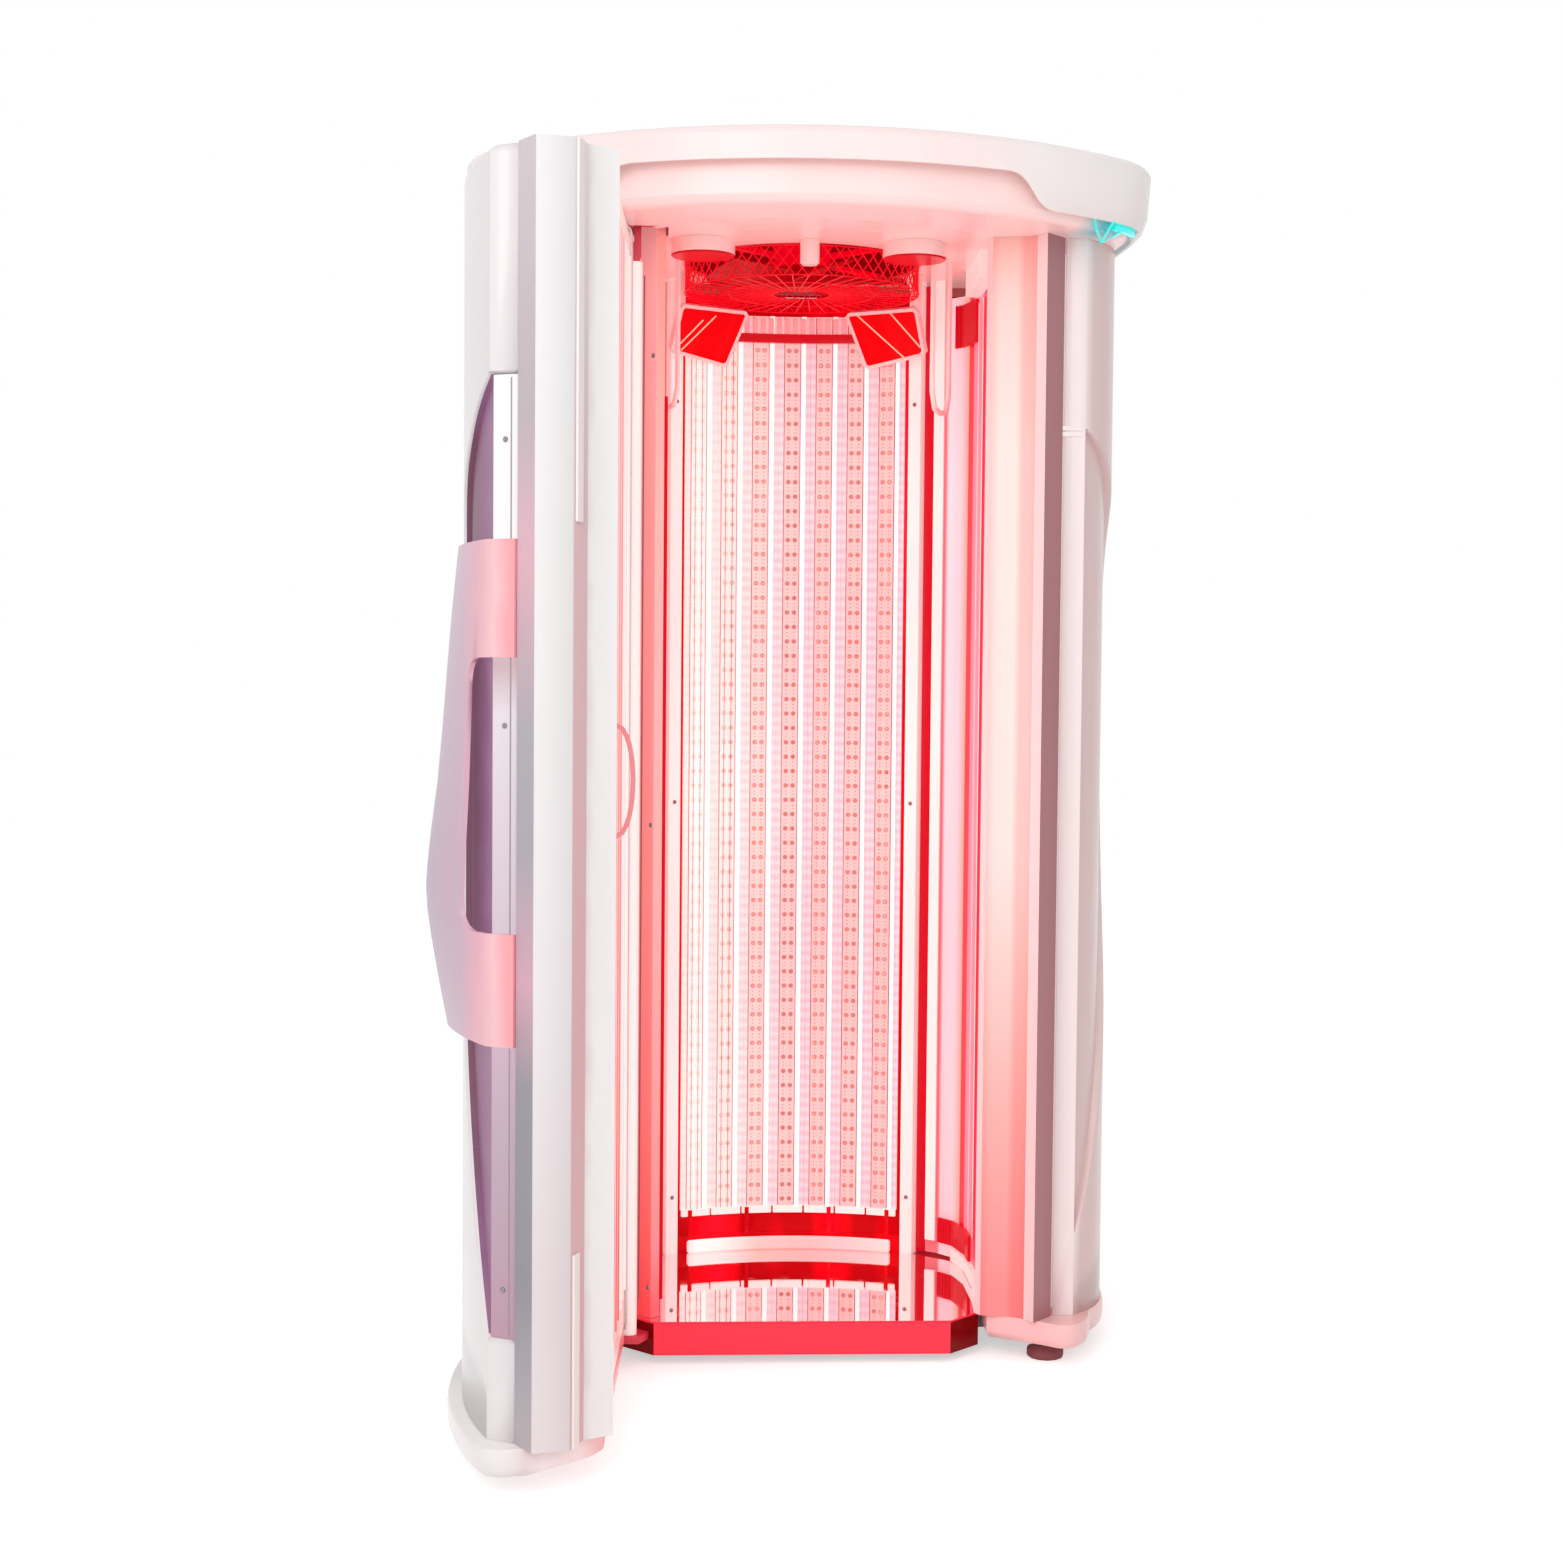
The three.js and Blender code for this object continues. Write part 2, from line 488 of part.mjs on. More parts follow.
// Fan: motor on a cross of arms above the tray, five pitched blades, wire drum guard below
const arm = (angle) => box(40, 244, -10, 10, CEILING + 4.4, CEILING + 12)
  .rotateZ(angle).translate(FAN_CENTRE[0], FAN_CENTRE[1], 0);
add('fan_motor', joined(
  disc(56, CEILING - 6, CEILING + 72, FAN_CENTRE, 20),
  ...[0.25, 0.75, 1.25, 1.75].map((turn) => arm(turn * Math.PI)),
), STEEL);
const blade = (i) => {
  const outline = new THREE.Shape().moveTo(30, -34).quadraticCurveTo(140, -62, 204, -44)
    .quadraticCurveTo(212, 0, 198, 44).quadraticCurveTo(120, 40, 30, 30);
  return extruded(outline, 3, 3).rotateX(0.3).translate(0, 0, CEILING - 30)
    .rotateZ(i * 2 * Math.PI / 5).translate(FAN_CENTRE[0], FAN_CENTRE[1], 0);
};
const hubBottom = CEILING - 48;
const hubTop = CEILING - 6.5;
const hubProfile = [[0, hubBottom], [36, hubBottom], [46, hubBottom + 6], [46, hubTop], [0, hubTop]];
const hub = turned(hubProfile, FAN_CENTRE, 18);
add('fan_impeller', joined(hub, ...[0, 1, 2, 3, 4].map(blade)), PINK);

const guardWire = (i, count, lean) => {
  const at = (radius, turn, z) => {
    const [x, y] = polar(FAN_CENTRE, radius, (i + turn) * 2 * Math.PI / count);
    return new THREE.Vector3(x, y, z);
  };
  const wire = new THREE.LineCurve3(at(228.5, -lean, GUARD_BOTTOM + 2), at(231, lean, CEILING - 3));
  return rod(wire, 1.6, 1, 2);
};
const guardSpoke = (i, count) => box(56, 228, -1.5, 1.5, GUARD_BOTTOM + 1, GUARD_BOTTOM + 4)
  .rotateZ((i + 0.5) * 2 * Math.PI / count).translate(FAN_CENTRE[0], FAN_CENTRE[1], 0);
const guardRing = (radius, z, width = 4) =>
  ring(radius - width / 2, radius + width / 2, z, z + 4.5, FAN_CENTRE, 24);
add('fan_guard', joined(
  ring(GUARD_RADIUS - 6, GUARD_RADIUS + 4, CEILING - 4.5, CEILING - GAP, FAN_CENTRE, 24),
  guardRing(228.5, GUARD_BOTTOM, 5),
  guardRing(57, GUARD_BOTTOM, 6),
  guardRing(145, GUARD_BOTTOM + 0.4),
  ...Array.from({ length: 12 }, (_, i) => guardSpoke(i, 12)),
  ...Array.from({ length: 14 }, (_, i) => guardWire(i, 14, 0.42)),
), CHROME);

// Ceiling fittings: two round lights, the middle nozzle, face lamps and hand loops
const lightBottom = CEILING - 30;
const lightProfile = [
  [0, lightBottom], [57, lightBottom], [60, lightBottom + 3], [60, shellTop], [0, shellTop],
];
const ceilingLight = (x) => turned(lightProfile, [x, -178], 24);
add('right_ceiling_light', ceilingLight(198), LENS_RED);
add('left_ceiling_light', ceilingLight(-198), LENS_RED);
const nozzleTip = CEILING - 46;
const nozzle = [[0, nozzleTip], [14, nozzleTip], [18, nozzleTip + 4], [18, shellTop], [0, shellTop]];
add('ceiling_nozzle', turned(nozzle, [0, -203], 24), WHITE);

const faceNormal = new THREE.Vector3(0.485, 0.804, 0.345).normalize();
const faceAcross = new THREE.Vector3(faceNormal.y, -faceNormal.x, 0).normalize();
const faceDown = new THREE.Vector3().crossVectors(faceNormal, faceAcross);
const facePlace = new THREE.Matrix4()
  .makeBasis(faceAcross, faceDown, faceNormal)
  .setPosition(97, 215, CEILING - 68);
const faceOutline = [[0, 8], [8, 0], [154, 0], [162, 8], [166, 90], [158, 99], [36, 118], [26, 112]];
const faceLens = offset(faceOutline, 7.4, true);
const facePocket = offset(faceOutline, 7, true);
const neck = box(228, 246, 133, 149, CEILING - 72, shellTop);
const faceFrame = solid(prism(faceOutline, 0, 16).applyMatrix4(facePlace))
  .subtract(solid(prism(facePocket, -2, 4).applyMatrix4(facePlace)))
  .add(solid(neck).subtract(solid(prism(offset(faceOutline, -30, true), -60, 8).applyMatrix4(facePlace))));
add('right_face_lamp_frame', faceFrame, SATIN);
add('left_face_lamp_frame', faceFrame.mirror([1, 0, 0]), SATIN);
const faceSheet = solid(prism(faceLens, 0.6, 3.6).applyMatrix4(facePlace));
add('right_face_lamp_lens', faceSheet, LENS_RED);
add('left_face_lamp_lens', faceSheet.mirror([1, 0, 0]), LENS_RED);

const gripBottom = CEILING - 296;
const gripLeg = [
  [55, CEILING + 6], [55, gripBottom + 108], [55, gripBottom + 33], [46, gripBottom + 9], [23, gripBottom],
];
const gripLoop = [...gripLeg.map(([s, z]) => [-s, z]), ...gripLeg.toReversed()];
const gripPath = new THREE.CatmullRomCurve3(
  gripLoop.map(([s, z]) => new THREE.Vector3(265 + 0.39 * s, -40 + 0.92 * s, z)), false, 'centripetal');
const aboveCeiling = box(150, 400, -200, 200, shellTop, CEILING + 20);
const grip = solid(rod(gripPath, 5.5, 18, 3)).subtract(solid(aboveCeiling));
add('right_hand_grip', grip, SATIN);
add('left_hand_grip', grip.mirror([1, 0, 0]), SATIN);

// Top hinge bracket: hangs from the tray through its pocket and carries the upper pin
const bracketBottom = CEILING - 60.6;
const bracketTop = CEILING + 77;
const [bracketLeft, bracketRight] = [pinX - 23, pinX + 11];
const bracketFace = new THREE.Shape();
bracketFace.moveTo(bracketLeft, bracketTop).lineTo(bracketLeft, bracketBottom)
  .lineTo(bracketRight - 13, bracketBottom)
  .quadraticCurveTo(bracketRight, bracketBottom, bracketRight, bracketBottom + 14.6)
  .lineTo(bracketRight, bracketTop);
const bracketSlot = new THREE.Path();
bracketSlot.moveTo(pinX - 10, CEILING - 26).lineTo(pinX - 2, CEILING - 26)
  .lineTo(pinX - 2, CEILING + 32).lineTo(pinX - 10, CEILING + 32);
bracketFace.holes.push(bracketSlot);
add('hinge_bracket_top', joined(
  sideCut(bracketFace, pinY - 9, pinY + 7),
  box(pinX - 68, pinX + 82, pinY - 12, pinY + 10, CEILING + 4.4, CEILING + 12),
  hingePin(bracketBottom - 19.4, bracketBottom + 2.6),
), SATIN);

// Door, drawn shut in cabin coordinates and then swung open about the hinge
const door = new THREE.Group();
door.position.set(HINGE[0], HINGE[1], 0);
door.rotation.z = -DOOR_OPEN;
booth.add(door);
const onDoor = ([u, v]) => [HINGE[0] + u, HINGE[1] - v];
const addDoor = (name, shape, finish) => {
  add(name, shape, finish, door).position.set(-HINGE[0], -HINGE[1], 0);
};

const doorEdge = onFrontArc(DOOR_RADIUS, HINGE[0] + 667.6);
const flangeEnd = [doorEdge[0] + 21.6, doorEdge[1] + 45];
const fromFlange = ([x, y]) => [flangeEnd[0] + x, flangeEnd[1] + y];
const hingeSide = onDoor([DOOR_HINGE_EDGE, 0])[0];
const doorSkin = [...frontArc(DOOR_RADIUS, hingeSide, doorEdge[0], 18), flangeEnd];
const flange = Math.hypot(flangeEnd[0] - doorEdge[0], flangeEnd[1] - doorEdge[1]);
const doorPath = [onDoor([60, 3]), onDoor([DOOR_HINGE_EDGE, 3]), ...doorSkin];
const topRound = (z) => 12 * Math.max(0, (z - DOOR_TOP + 14) / 14) ** 2;
const doorLength = pathLength(doorPath);
const skinHeights = [SHELL_BOTTOM, DOOR_TOP - 14, DOOR_TOP - 9, DOOR_TOP - 4, DOOR_TOP];
const roundedSkin = loft(skinHeights.map((z) => [
  ...offset(doorPath, topRound(z)).map((p) => [...p, z]),
  ...offset(doorPath, topRound(z) + SHELL_WALL).reverse().map((p) => [...p, z]),
]));
const doorShell = withScoop(
  solid(roundedSkin),
  doorPath,
  (width, grow) => doorLength - flange - width - grow,
  doorLength - flange,
  (_, grow) => doorLength + (grow ? 0 : 6),
  [9, 1],
);
addDoor('door_shell', doorShell, WHITE);

const edgeStrip = piece(doorPath, doorLength - flange + 3, doorLength - 1, 1);
const stripSection = band(edgeStrip, 6, SCOOP_DEPTH - GAP);
addDoor('door_edge_strip', prism(stripSection, SCOOP[0][0] + 6, SCOOP.at(-1)[0] - 5), ALUMINIUM);
const doorNose = [[0.2, 0.4], [46.1, 31], [31.1, 88.5], [-17.9, 106.1], [-45.1, 150.9]].map(fromFlange);
addDoor('door_nose_profile', prism(band(doorNose, 0, 4), SHELL_BOTTOM, DOOR_TOP), ALUMINIUM);

const standOff = profile(HANDLE);
const handleOuter = (length, z) => {
  const run = doorLength - length;
  const rise = run < flange ? 0 : Math.min((run - flange) / (HANDLE_CREST - flange), 1);
  const fall = Math.max(0, (run - HANDLE_CREST) / (HANDLE_SPAN - HANDLE_CREST));
  return -Math.max(5, mix(5, standOff(z), rise) * Math.sqrt(1 - Math.min(fall, 1) ** 2));
};
const handleInner = (length, z) => {
  const onStrip = doorLength - length < flange - 4;
  return onStrip ? 6 - GAP : Math.min(-0.5, handleOuter(length, z) + HANDLE_WALL);
};
const handleHeights = [703, 750, 800, 850, 890, 930, 970, 1030, 1100, 1190, 1280, 1380, 1485];
const handleSlot = new THREE.Shape();
const slotLeft = onDoor([600, 0])[0];
const slotRound = 42;
handleSlot.moveTo(slotLeft + 140, HANDLE_SLOT[0]).lineTo(slotLeft + 140, HANDLE_SLOT[1])
  .lineTo(slotLeft + slotRound, HANDLE_SLOT[1])
  .quadraticCurveTo(slotLeft, HANDLE_SLOT[1], slotLeft, HANDLE_SLOT[1] - slotRound)
  .lineTo(slotLeft, HANDLE_SLOT[0] + slotRound)
  .quadraticCurveTo(slotLeft, HANDLE_SLOT[0], slotLeft + slotRound, HANDLE_SLOT[0]);
const handleBody = skinLoft(doorPath, handleHeights, () => doorLength - HANDLE_SPAN, doorLength - flange,
  () => doorLength - 1.5, handleOuter, handleInner, [12, 2]);
addDoor('door_handle', solid(handleBody).subtract(solid(sideCut(handleSlot, -700, -380))), PINK);

const doorPanelPath = [onDoor([19, 0]), fromFlange([-45.2, 142.4])];
const doorRibs = sweep(8, (f) => mix(60, 590, f)).map((start) =>
  prism(band(piece(doorPanelPath, start, start + 11, 1), -8, -3), LAMP_BOTTOM, LAMP_TOP));
addDoor('door_lamp_panel', joined(
  prism(band(doorPanelPath, -16, -7.4), SHELL_BOTTOM + 10, DOOR_TOP - 20),
  ...doorRibs,
), LAMP);
const pullCurve = new THREE.CubicBezierCurve3(
  new THREE.Vector3(...onDoor([442, 6.9]), 1012),
  new THREE.Vector3(...onDoor([442, -34]), 1012),
  new THREE.Vector3(...onDoor([442, -34]), 1198),
  new THREE.Vector3(...onDoor([442, 6.9]), 1198),
);
addDoor('door_pull', rod(pullCurve, 4, 14, 4), SATIN);
const capEdge = offset([...frontArc(DOOR_RADIUS, hingeSide, doorEdge[0], 18), flangeEnd,
  fromFlange([-25.2, 102.4]), fromFlange([-39.2, 124.4]), onDoor([DOOR_HINGE_EDGE, 18])], 4.6, true);
addDoor('door_top_cap', prism(capEdge, DOOR_TOP - 24, DOOR_TOP - 16), WHITE);

const plinthEdge = [
  ...frontArc(DOOR_RADIUS + 24, HINGE[0] + 30, doorEdge[0] + 22.4, 18),
  ...[[23.8, -47.6], [30.8, -17.6], [20.8, 26.4]].map(fromFlange),
  ...[[-47.2, 97.4], [-67.2, 118.4], [-95.2, 134.4]].map(fromFlange),
  onDoor([30, 8]),
];
const plinthHollow = prism(offset(plinthEdge, 13, true), FOOT_TOP - 1, PLINTH_TOP - 4);
addDoor('door_plinth', solid(stack(plinthEdge, plinthLevels)).subtract(solid(plinthHollow)), WHITE);
const sealPath = [[26.8, 90], [6.8, 97.2]].map(fromFlange);
const seal = band(sealPath, -5, -GAP);
addDoor('door_seal_upper', prism(seal, DOOR_TOP - 575, DOOR_TOP), SATIN);
addDoor('door_seal_lower', prism(seal, SHELL_BOTTOM, SHELL_BOTTOM + 303), SATIN);
addDoor('hinge_tube', ring(9, HINGE_TUBE_RADIUS, TAB_TOP + 1, bracketBottom - GAP, HINGE, 18), SATIN);

export default booth;
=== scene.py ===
"""Looks of the walk-in light booth with one bulging hinged door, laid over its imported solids.
Blender works in metres, +Z up, -Y out of the entrance. The sizes named here are in millimetres."""

import itertools
import json
import math

import bmesh
import bpy
from mathutils import Matrix, Vector
from mathutils.geometry import interpolate_bezier

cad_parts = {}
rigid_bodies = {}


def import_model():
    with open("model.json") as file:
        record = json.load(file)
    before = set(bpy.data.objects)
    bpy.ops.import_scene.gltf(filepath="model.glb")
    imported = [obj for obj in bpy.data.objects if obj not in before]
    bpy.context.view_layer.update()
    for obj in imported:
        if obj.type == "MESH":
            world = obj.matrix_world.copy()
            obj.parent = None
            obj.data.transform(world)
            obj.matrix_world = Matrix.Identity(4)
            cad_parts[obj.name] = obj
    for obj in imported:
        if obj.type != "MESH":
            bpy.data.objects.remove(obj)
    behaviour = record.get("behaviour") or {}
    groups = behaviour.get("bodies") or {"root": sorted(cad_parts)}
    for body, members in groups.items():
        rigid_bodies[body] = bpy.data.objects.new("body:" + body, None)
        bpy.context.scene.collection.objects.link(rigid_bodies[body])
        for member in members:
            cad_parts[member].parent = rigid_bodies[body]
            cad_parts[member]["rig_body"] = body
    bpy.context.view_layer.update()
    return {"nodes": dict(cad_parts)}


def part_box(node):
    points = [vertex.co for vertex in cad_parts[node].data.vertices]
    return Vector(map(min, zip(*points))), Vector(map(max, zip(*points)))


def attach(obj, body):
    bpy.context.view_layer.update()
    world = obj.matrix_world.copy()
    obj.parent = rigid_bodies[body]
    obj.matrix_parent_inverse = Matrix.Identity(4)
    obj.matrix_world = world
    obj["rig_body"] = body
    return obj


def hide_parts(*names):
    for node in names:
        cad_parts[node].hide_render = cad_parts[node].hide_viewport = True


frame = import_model()
scene = bpy.context.scene

MM = 0.001

# Camera, fitted to the edges of the object in the photograph: place, yaw, pitch and roll in degrees
CAMERA_PLACE = (-254.6, -4502.9, 1276.7)
CAMERA_TURN = (2.8, 2.587, 0.49)
CAMERA_LENS = 52.97

# White added to the paper floor where it is seen, so that only the shadow on it shows
FLOOR_LIFT = 0.5
# Way in which the white surroundings grow dimmer, and how bright they are there
SKY_DIMMER = (0.5, 0.85, 0.0)
SKY_FAR = 0.45

# Curved lamp wall. The values that end in OFF are distances off the wall or off the back of a board.
WALL_CENTRE = (0.0, -331.0)
WALL_RADIUS = 625.6
LAMP_COUNT = 7
LAMP_PITCH = 66.5
LAMP_BOTTOM = 166.0
LAMP_TOP = 2022.0
BOARD_GAP = 0.9
RIB_OFF = 8.6
TAPE_OFF = 7.0
TAPE_MIDDLE = 28.75
TAPE_WIDTH = 31.5
TAPE_FOOT = LAMP_BOTTOM + 1
TAPE_LENGTH = LAMP_TOP - LAMP_BOTTOM - 2
SEAM_OFF = 7.2
COLUMN_SEAM_OFF = 7.6
LED_OFF = 7.7
LED_COLUMNS = (TAPE_MIDDLE - 7.25, TAPE_MIDDLE + 7.25)
LED_SPACING = 30.0
LED_START = LAMP_BOTTOM + 16
LED_ROWS = int((LAMP_TOP - LAMP_BOTTOM - 30) / LED_SPACING)
CAP_OFF = 4.5
CAP_DROP = 14.0
COMB_COUNT = 25
COMB_PITCH = 17.2
COMB_OFF = 18.0
COMB_FOOT = 1984.0
CEILING = 2088.0
# Small turned shapes, as radius and height pairs
RIM_SHAPE = [(4.9, 0.0), (4.7, 0.7), (3.8, 0.7), (3.6, 0.1)]
DOT_SHAPE = [(1.4, 0.0), (1.1, 0.5), (0.5, 0.6)]
SCREW_HEAD = [(4.6, 0.0), (4.4, 0.9), (3.3, 2.0), (2.0, 2.4), (1.7, 1.4), (0.6, 1.3)]

# Posts beside the wall and at the door: where their faces, screws, red strips of painted light and painted
# shadow line are
POST_ANGLE = 0.4128
POST_FACE = WALL_RADIUS - 19.6
POST_SCREWS = (1838, 1019, 198)
FRONT_POST_FACE = (-288, -252)
FRONT_POST_SCREWS = (1864, 1002, 138)
FRONT_POST_STRIP = (-264.5, -238.5, 112)
FRONT_POST_SHADOW_LINE = (-305.5, -234.9, 112)
FRONT_POST_TURN = math.pi / 4
CORNER_STRIP = (277, 240, 81)
NOSE_JOINT = (469, -262, 100)
CATCH_PLACE = (484, -264.8)
CATCH_HEIGHTS = (1725, 1736)
CATCH_TURN = 0.13

# Where the painted light and shade of graded colours start and end: across the left half of the wall, up
# the posts and the door's nose, across and up the flange of the right nose, at the rear of the ceiling
# tray, and round the cyan lens
WALL_SPAN = (-230, 30)
POST_SPAN = (97, 2100)
NOSE_SPAN = (95, 2065)
FLANGE_WIDTH = (314, 411)
FLANGE_HEIGHT = (120, 2080)
TRAY_REAR = (285, 300)
ACCENT_HALO = (18, 78)

# Side lamp panel: the line that its board follows, on the right
SIDE_LINE = [(346, -206), (357, -60), (357, 84), (340, 162), (304.75, 208), (284.75, 222)]
HEEL_TOP = 107.0
SIDE_RIB_OFF = 2.5
# Ribs at its head and foot: how far they stand off, their pitch, and the start and count of each row
END_RIB_OFF = 6.0
END_RIB_PITCH = 9.5
HEAD_RIBS = (286, 12)
HEAD_RIB_FOOT = 1946.0
FOOT_RIBS = (240, 19)

# Face lamp lens on the right: a corner of its plane, the way it faces, and the pale lines of painted tube
# reflection on each lens, which stand a little off it
LENS_CORNER = (97.0, 215.0, 2020.0)
LENS_AXIS = Vector((0.485, 0.804, 0.345)).normalized()
LENS_LINES = {
    1: [((27, 6), (120, 100)), ((101, 6), (158, 80))],
    -1: [((77, 16), (143, 92)), ((105, 27), (152, 84))],
}
LENS_LINE_LIFT = 0.4

# Plan of the cabin: a superellipse, from the front corner of the right shell to its rear seam
SHELL_HALF = (596.0, 405.0)
SHELL_MIDDLE = 55.0
SHELL_POWER = 3.5
FRONT_ANGLE = -0.708
SEAM_ANGLE = 0.43
FRONT_LIP = 470.0
SHELL_WALL = 4.0

# Door: hinge line, how far it stands open, and the plan of its skin, lamp board and edge strip when shut
HINGE = (-322.0, -284.0)
HINGE_TAB = 40.0
DOOR_OPEN = math.radians(92)
DOOR_HINGE_EDGE = 13.7
DOOR_HINGE_LIP = (60.0, -3.0)
DOOR_WIDTH = 667.6
DOOR_RADIUS = 828.0
ARC_MIDDLE = 281.0
DOOR_FLANGE = (21.6, 45.0)
DOOR_BOARD = -291.4
DOOR_RIBS = 9
DOOR_RIB_START = -243.0
DOOR_RIB_PITCH = 66.25
DOOR_RIB_WIDTH = 11.0
DOOR_LED_OFFSET = 9.0
STRIP_PLACE = (351.0, -446.3)
STRIP_TURN = math.radians(64.4)
STRIP_SCREWS = (1637, 1199, 322)
FOLD_OFFSET = 10.5
FOLD_MARGIN = 10.0

# Scoop pressed into the door and the right shell: height above the floor and width from the corner
SCOOP = [(240, 2), (470, 95), (880, 248), (1250, 294), (1520, 262), (1660, 122), (1741, 2)]
SCOOP_DEPTH = 14.0
# Its rolled rim, as distances past the edge and depths, the lean of the shell's top, and steps of the mesh
SCOOP_RIM = [(-7, 0.0), (-3, 0.4), (-0.8, 1.8), (0.4, 5.0), (1.4, SCOOP_DEPTH)]
CROWN_HEIGHT = 14.0
CROWN_STEPS = 6
SKIN_COLUMNS = 44
FLOOR_COLUMNS = 18

# Cyan accent under the right end of the canopy: its middle, and its lines by where each bends and ends
ACCENT_PLACE = (530.0, -322.0, 2092.0)
ACCENT_TIP = (540.0, -232.0)
ACCENT_LINES = [((508, -352), (500, -376)), ((531, -336), (538, -357)), ((556, -322), (552, -332))]

# Fan guard
FAN_CENTRE = (0.0, 57.0)
GUARD_RADIUS = 228.5
GUARD_BOTTOM = 2030.0
GUARD_HEIGHT = 55.0
GUARD_HUB = 57.0
GUARD_LEAN = 22.0
GUARD_WIRE_SIZE = 2.6
GUARD_WIRES = 60
GUARD_SPOKES = 44
# Vent slots round the fan: the radius of each row and the turns of its slots in degrees
VENT_ROWS = {455: range(-36, 37, 12), 365: range(-16, 17, 16)}


def linear(code):
    """sRGB hex as linear red, green, blue and alpha."""
    parts = [int(code[i:i + 2], 16) / 255 for i in (1, 3, 5)]
    return [p / 12.92 if p <= 0.04045 else ((p + 0.055) / 1.055) ** 2.4 for p in parts] + [1.0]


def darker(code, share):
    """The linear colour of a code with a share of its light taken away."""
    return [c * (1 - share) for c in linear(code)[:3]] + [1.0]


def fill(tree, node, inputs):
    """Sets inputs of a node: a socket is linked, a node is linked by its first live output, and anything
    else is a constant value."""
    for name, value in inputs.items():
        if isinstance(value, bpy.types.Node):
            value = next(socket for socket in value.outputs if socket.enabled)
        if isinstance(value, bpy.types.NodeSocket):
            tree.links.new(value, node.inputs[name])
        else:
            node.inputs[name].default_value = value


def add(tree, kind, inputs=None, stops=None, **settings):
    """Adds a node with its settings, ramp stops, input values and links."""
    made = tree.nodes.new(kind)
    for name, value in settings.items():
        setattr(made, name, value)
    for i, (place, code) in enumerate((stops or {}).items()):
        elements = made.color_ramp.elements
        element = elements[i] if i < len(elements) else elements.new(place)
        element.position = place
        element.color = linear(code)
    fill(tree, made, inputs or {})
    return made


def surface(name):
    """A new material, its node tree, its surface shader and the place of each point in the object."""
    material = bpy.data.materials.new(name)
    material.use_nodes = True
    tree = material.node_tree
    place = add(tree, "ShaderNodeTexCoord").outputs["Object"]
    return material, tree, tree.nodes["Principled BSDF"], place


def moulded_gloss(name, code, roughness, glow="#000000", strength=0.0):
    """Injection-moulded ABS, polished: a soft window of light, faint orange peel about 7 mm across.
    Its glow is painted light: the pink light of the booth's diodes, painted on as emission."""
    material, tree, shader, place = surface(name)
    peel = add(tree, "ShaderNodeTexNoise", {"Vector": place, "Scale": 1 / (7 * MM), "Detail": 2.0})
    bump = add(tree, "ShaderNodeBump", {"Height": peel, "Strength": 0.03, "Distance": 0.2 * MM})
    cloud = add(tree, "ShaderNodeTexNoise", {"Vector": place, "Scale": 1 / (260 * MM), "Detail": 3.0})
    gloss = add(tree, "ShaderNodeMapRange", {
        "Value": cloud, "To Min": roughness * 0.8, "To Max": roughness * 1.25})
    tint = add(tree, "ShaderNodeMix", {
        "Factor": cloud, "A": linear(code), "B": darker(code, 0.035)}, data_type="RGBA")
    fill(tree, shader, {
        "Base Color": tint, "Roughness": gloss, "Normal": bump, "IOR": 1.53, "Specular IOR Level": 0.4,
        "Coat Weight": 0.12, "Coat Roughness": 0.1, "Emission Color": linear(glow),
        "Emission Strength": strength})
    return material


def drawn_metal(name, code, metallic, roughness, streak, strength=0.0):
    """Drawn aluminium, anodised or coated: fine lines along its length, about 1.5 mm apart.
    A post that stands in the light of the diodes has that light painted on as a glow of its own colour."""
    material, tree, shader, place = surface(name)
    fine, long = 1 / (1.5 * MM), 1 / (900 * MM)
    drawn = add(tree, "ShaderNodeMapping", {"Vector": place, "Scale": (fine, fine, long)})
    streaks = add(tree, "ShaderNodeTexNoise", {"Vector": drawn, "Scale": 1.0, "Detail": 3.0})
    tint = add(tree, "ShaderNodeMix", {
        "Factor": streaks, "A": linear(code), "B": darker(code, streak)}, data_type="RGBA")
    gloss = add(tree, "ShaderNodeMapRange", {
        "Value": streaks, "To Min": roughness * 0.75, "To Max": roughness * 1.3})
    fill(tree, shader, {
        "Base Color": tint, "Emission Color": tint, "Emission Strength": strength, "Roughness": gloss,
        "Metallic": metallic, "IOR": 1.5})
    return material


def powder_coat(name, code, roughness, metallic=0.0):
    """Powder coat or fine-textured moulding: grain of about 2 mm that softens the highlights."""
    material, tree, shader, place = surface(name)
    grain = add(tree, "ShaderNodeTexNoise", {"Vector": place, "Scale": 1 / (2 * MM), "Detail": 2.0})
    bump = add(tree, "ShaderNodeBump", {"Height": grain, "Strength": 0.08, "Distance": 0.2 * MM})
    gloss = add(tree, "ShaderNodeMapRange", {
        "Value": grain, "To Min": roughness * 0.85, "To Max": roughness * 1.15})
    tint = add(tree, "ShaderNodeMix", {
        "Factor": grain, "A": linear(code), "B": darker(code, 0.07)}, data_type="RGBA")
    fill(tree, shader, {"Base Color": tint, "Roughness": gloss, "Normal": bump, "Metallic": metallic})
    return material


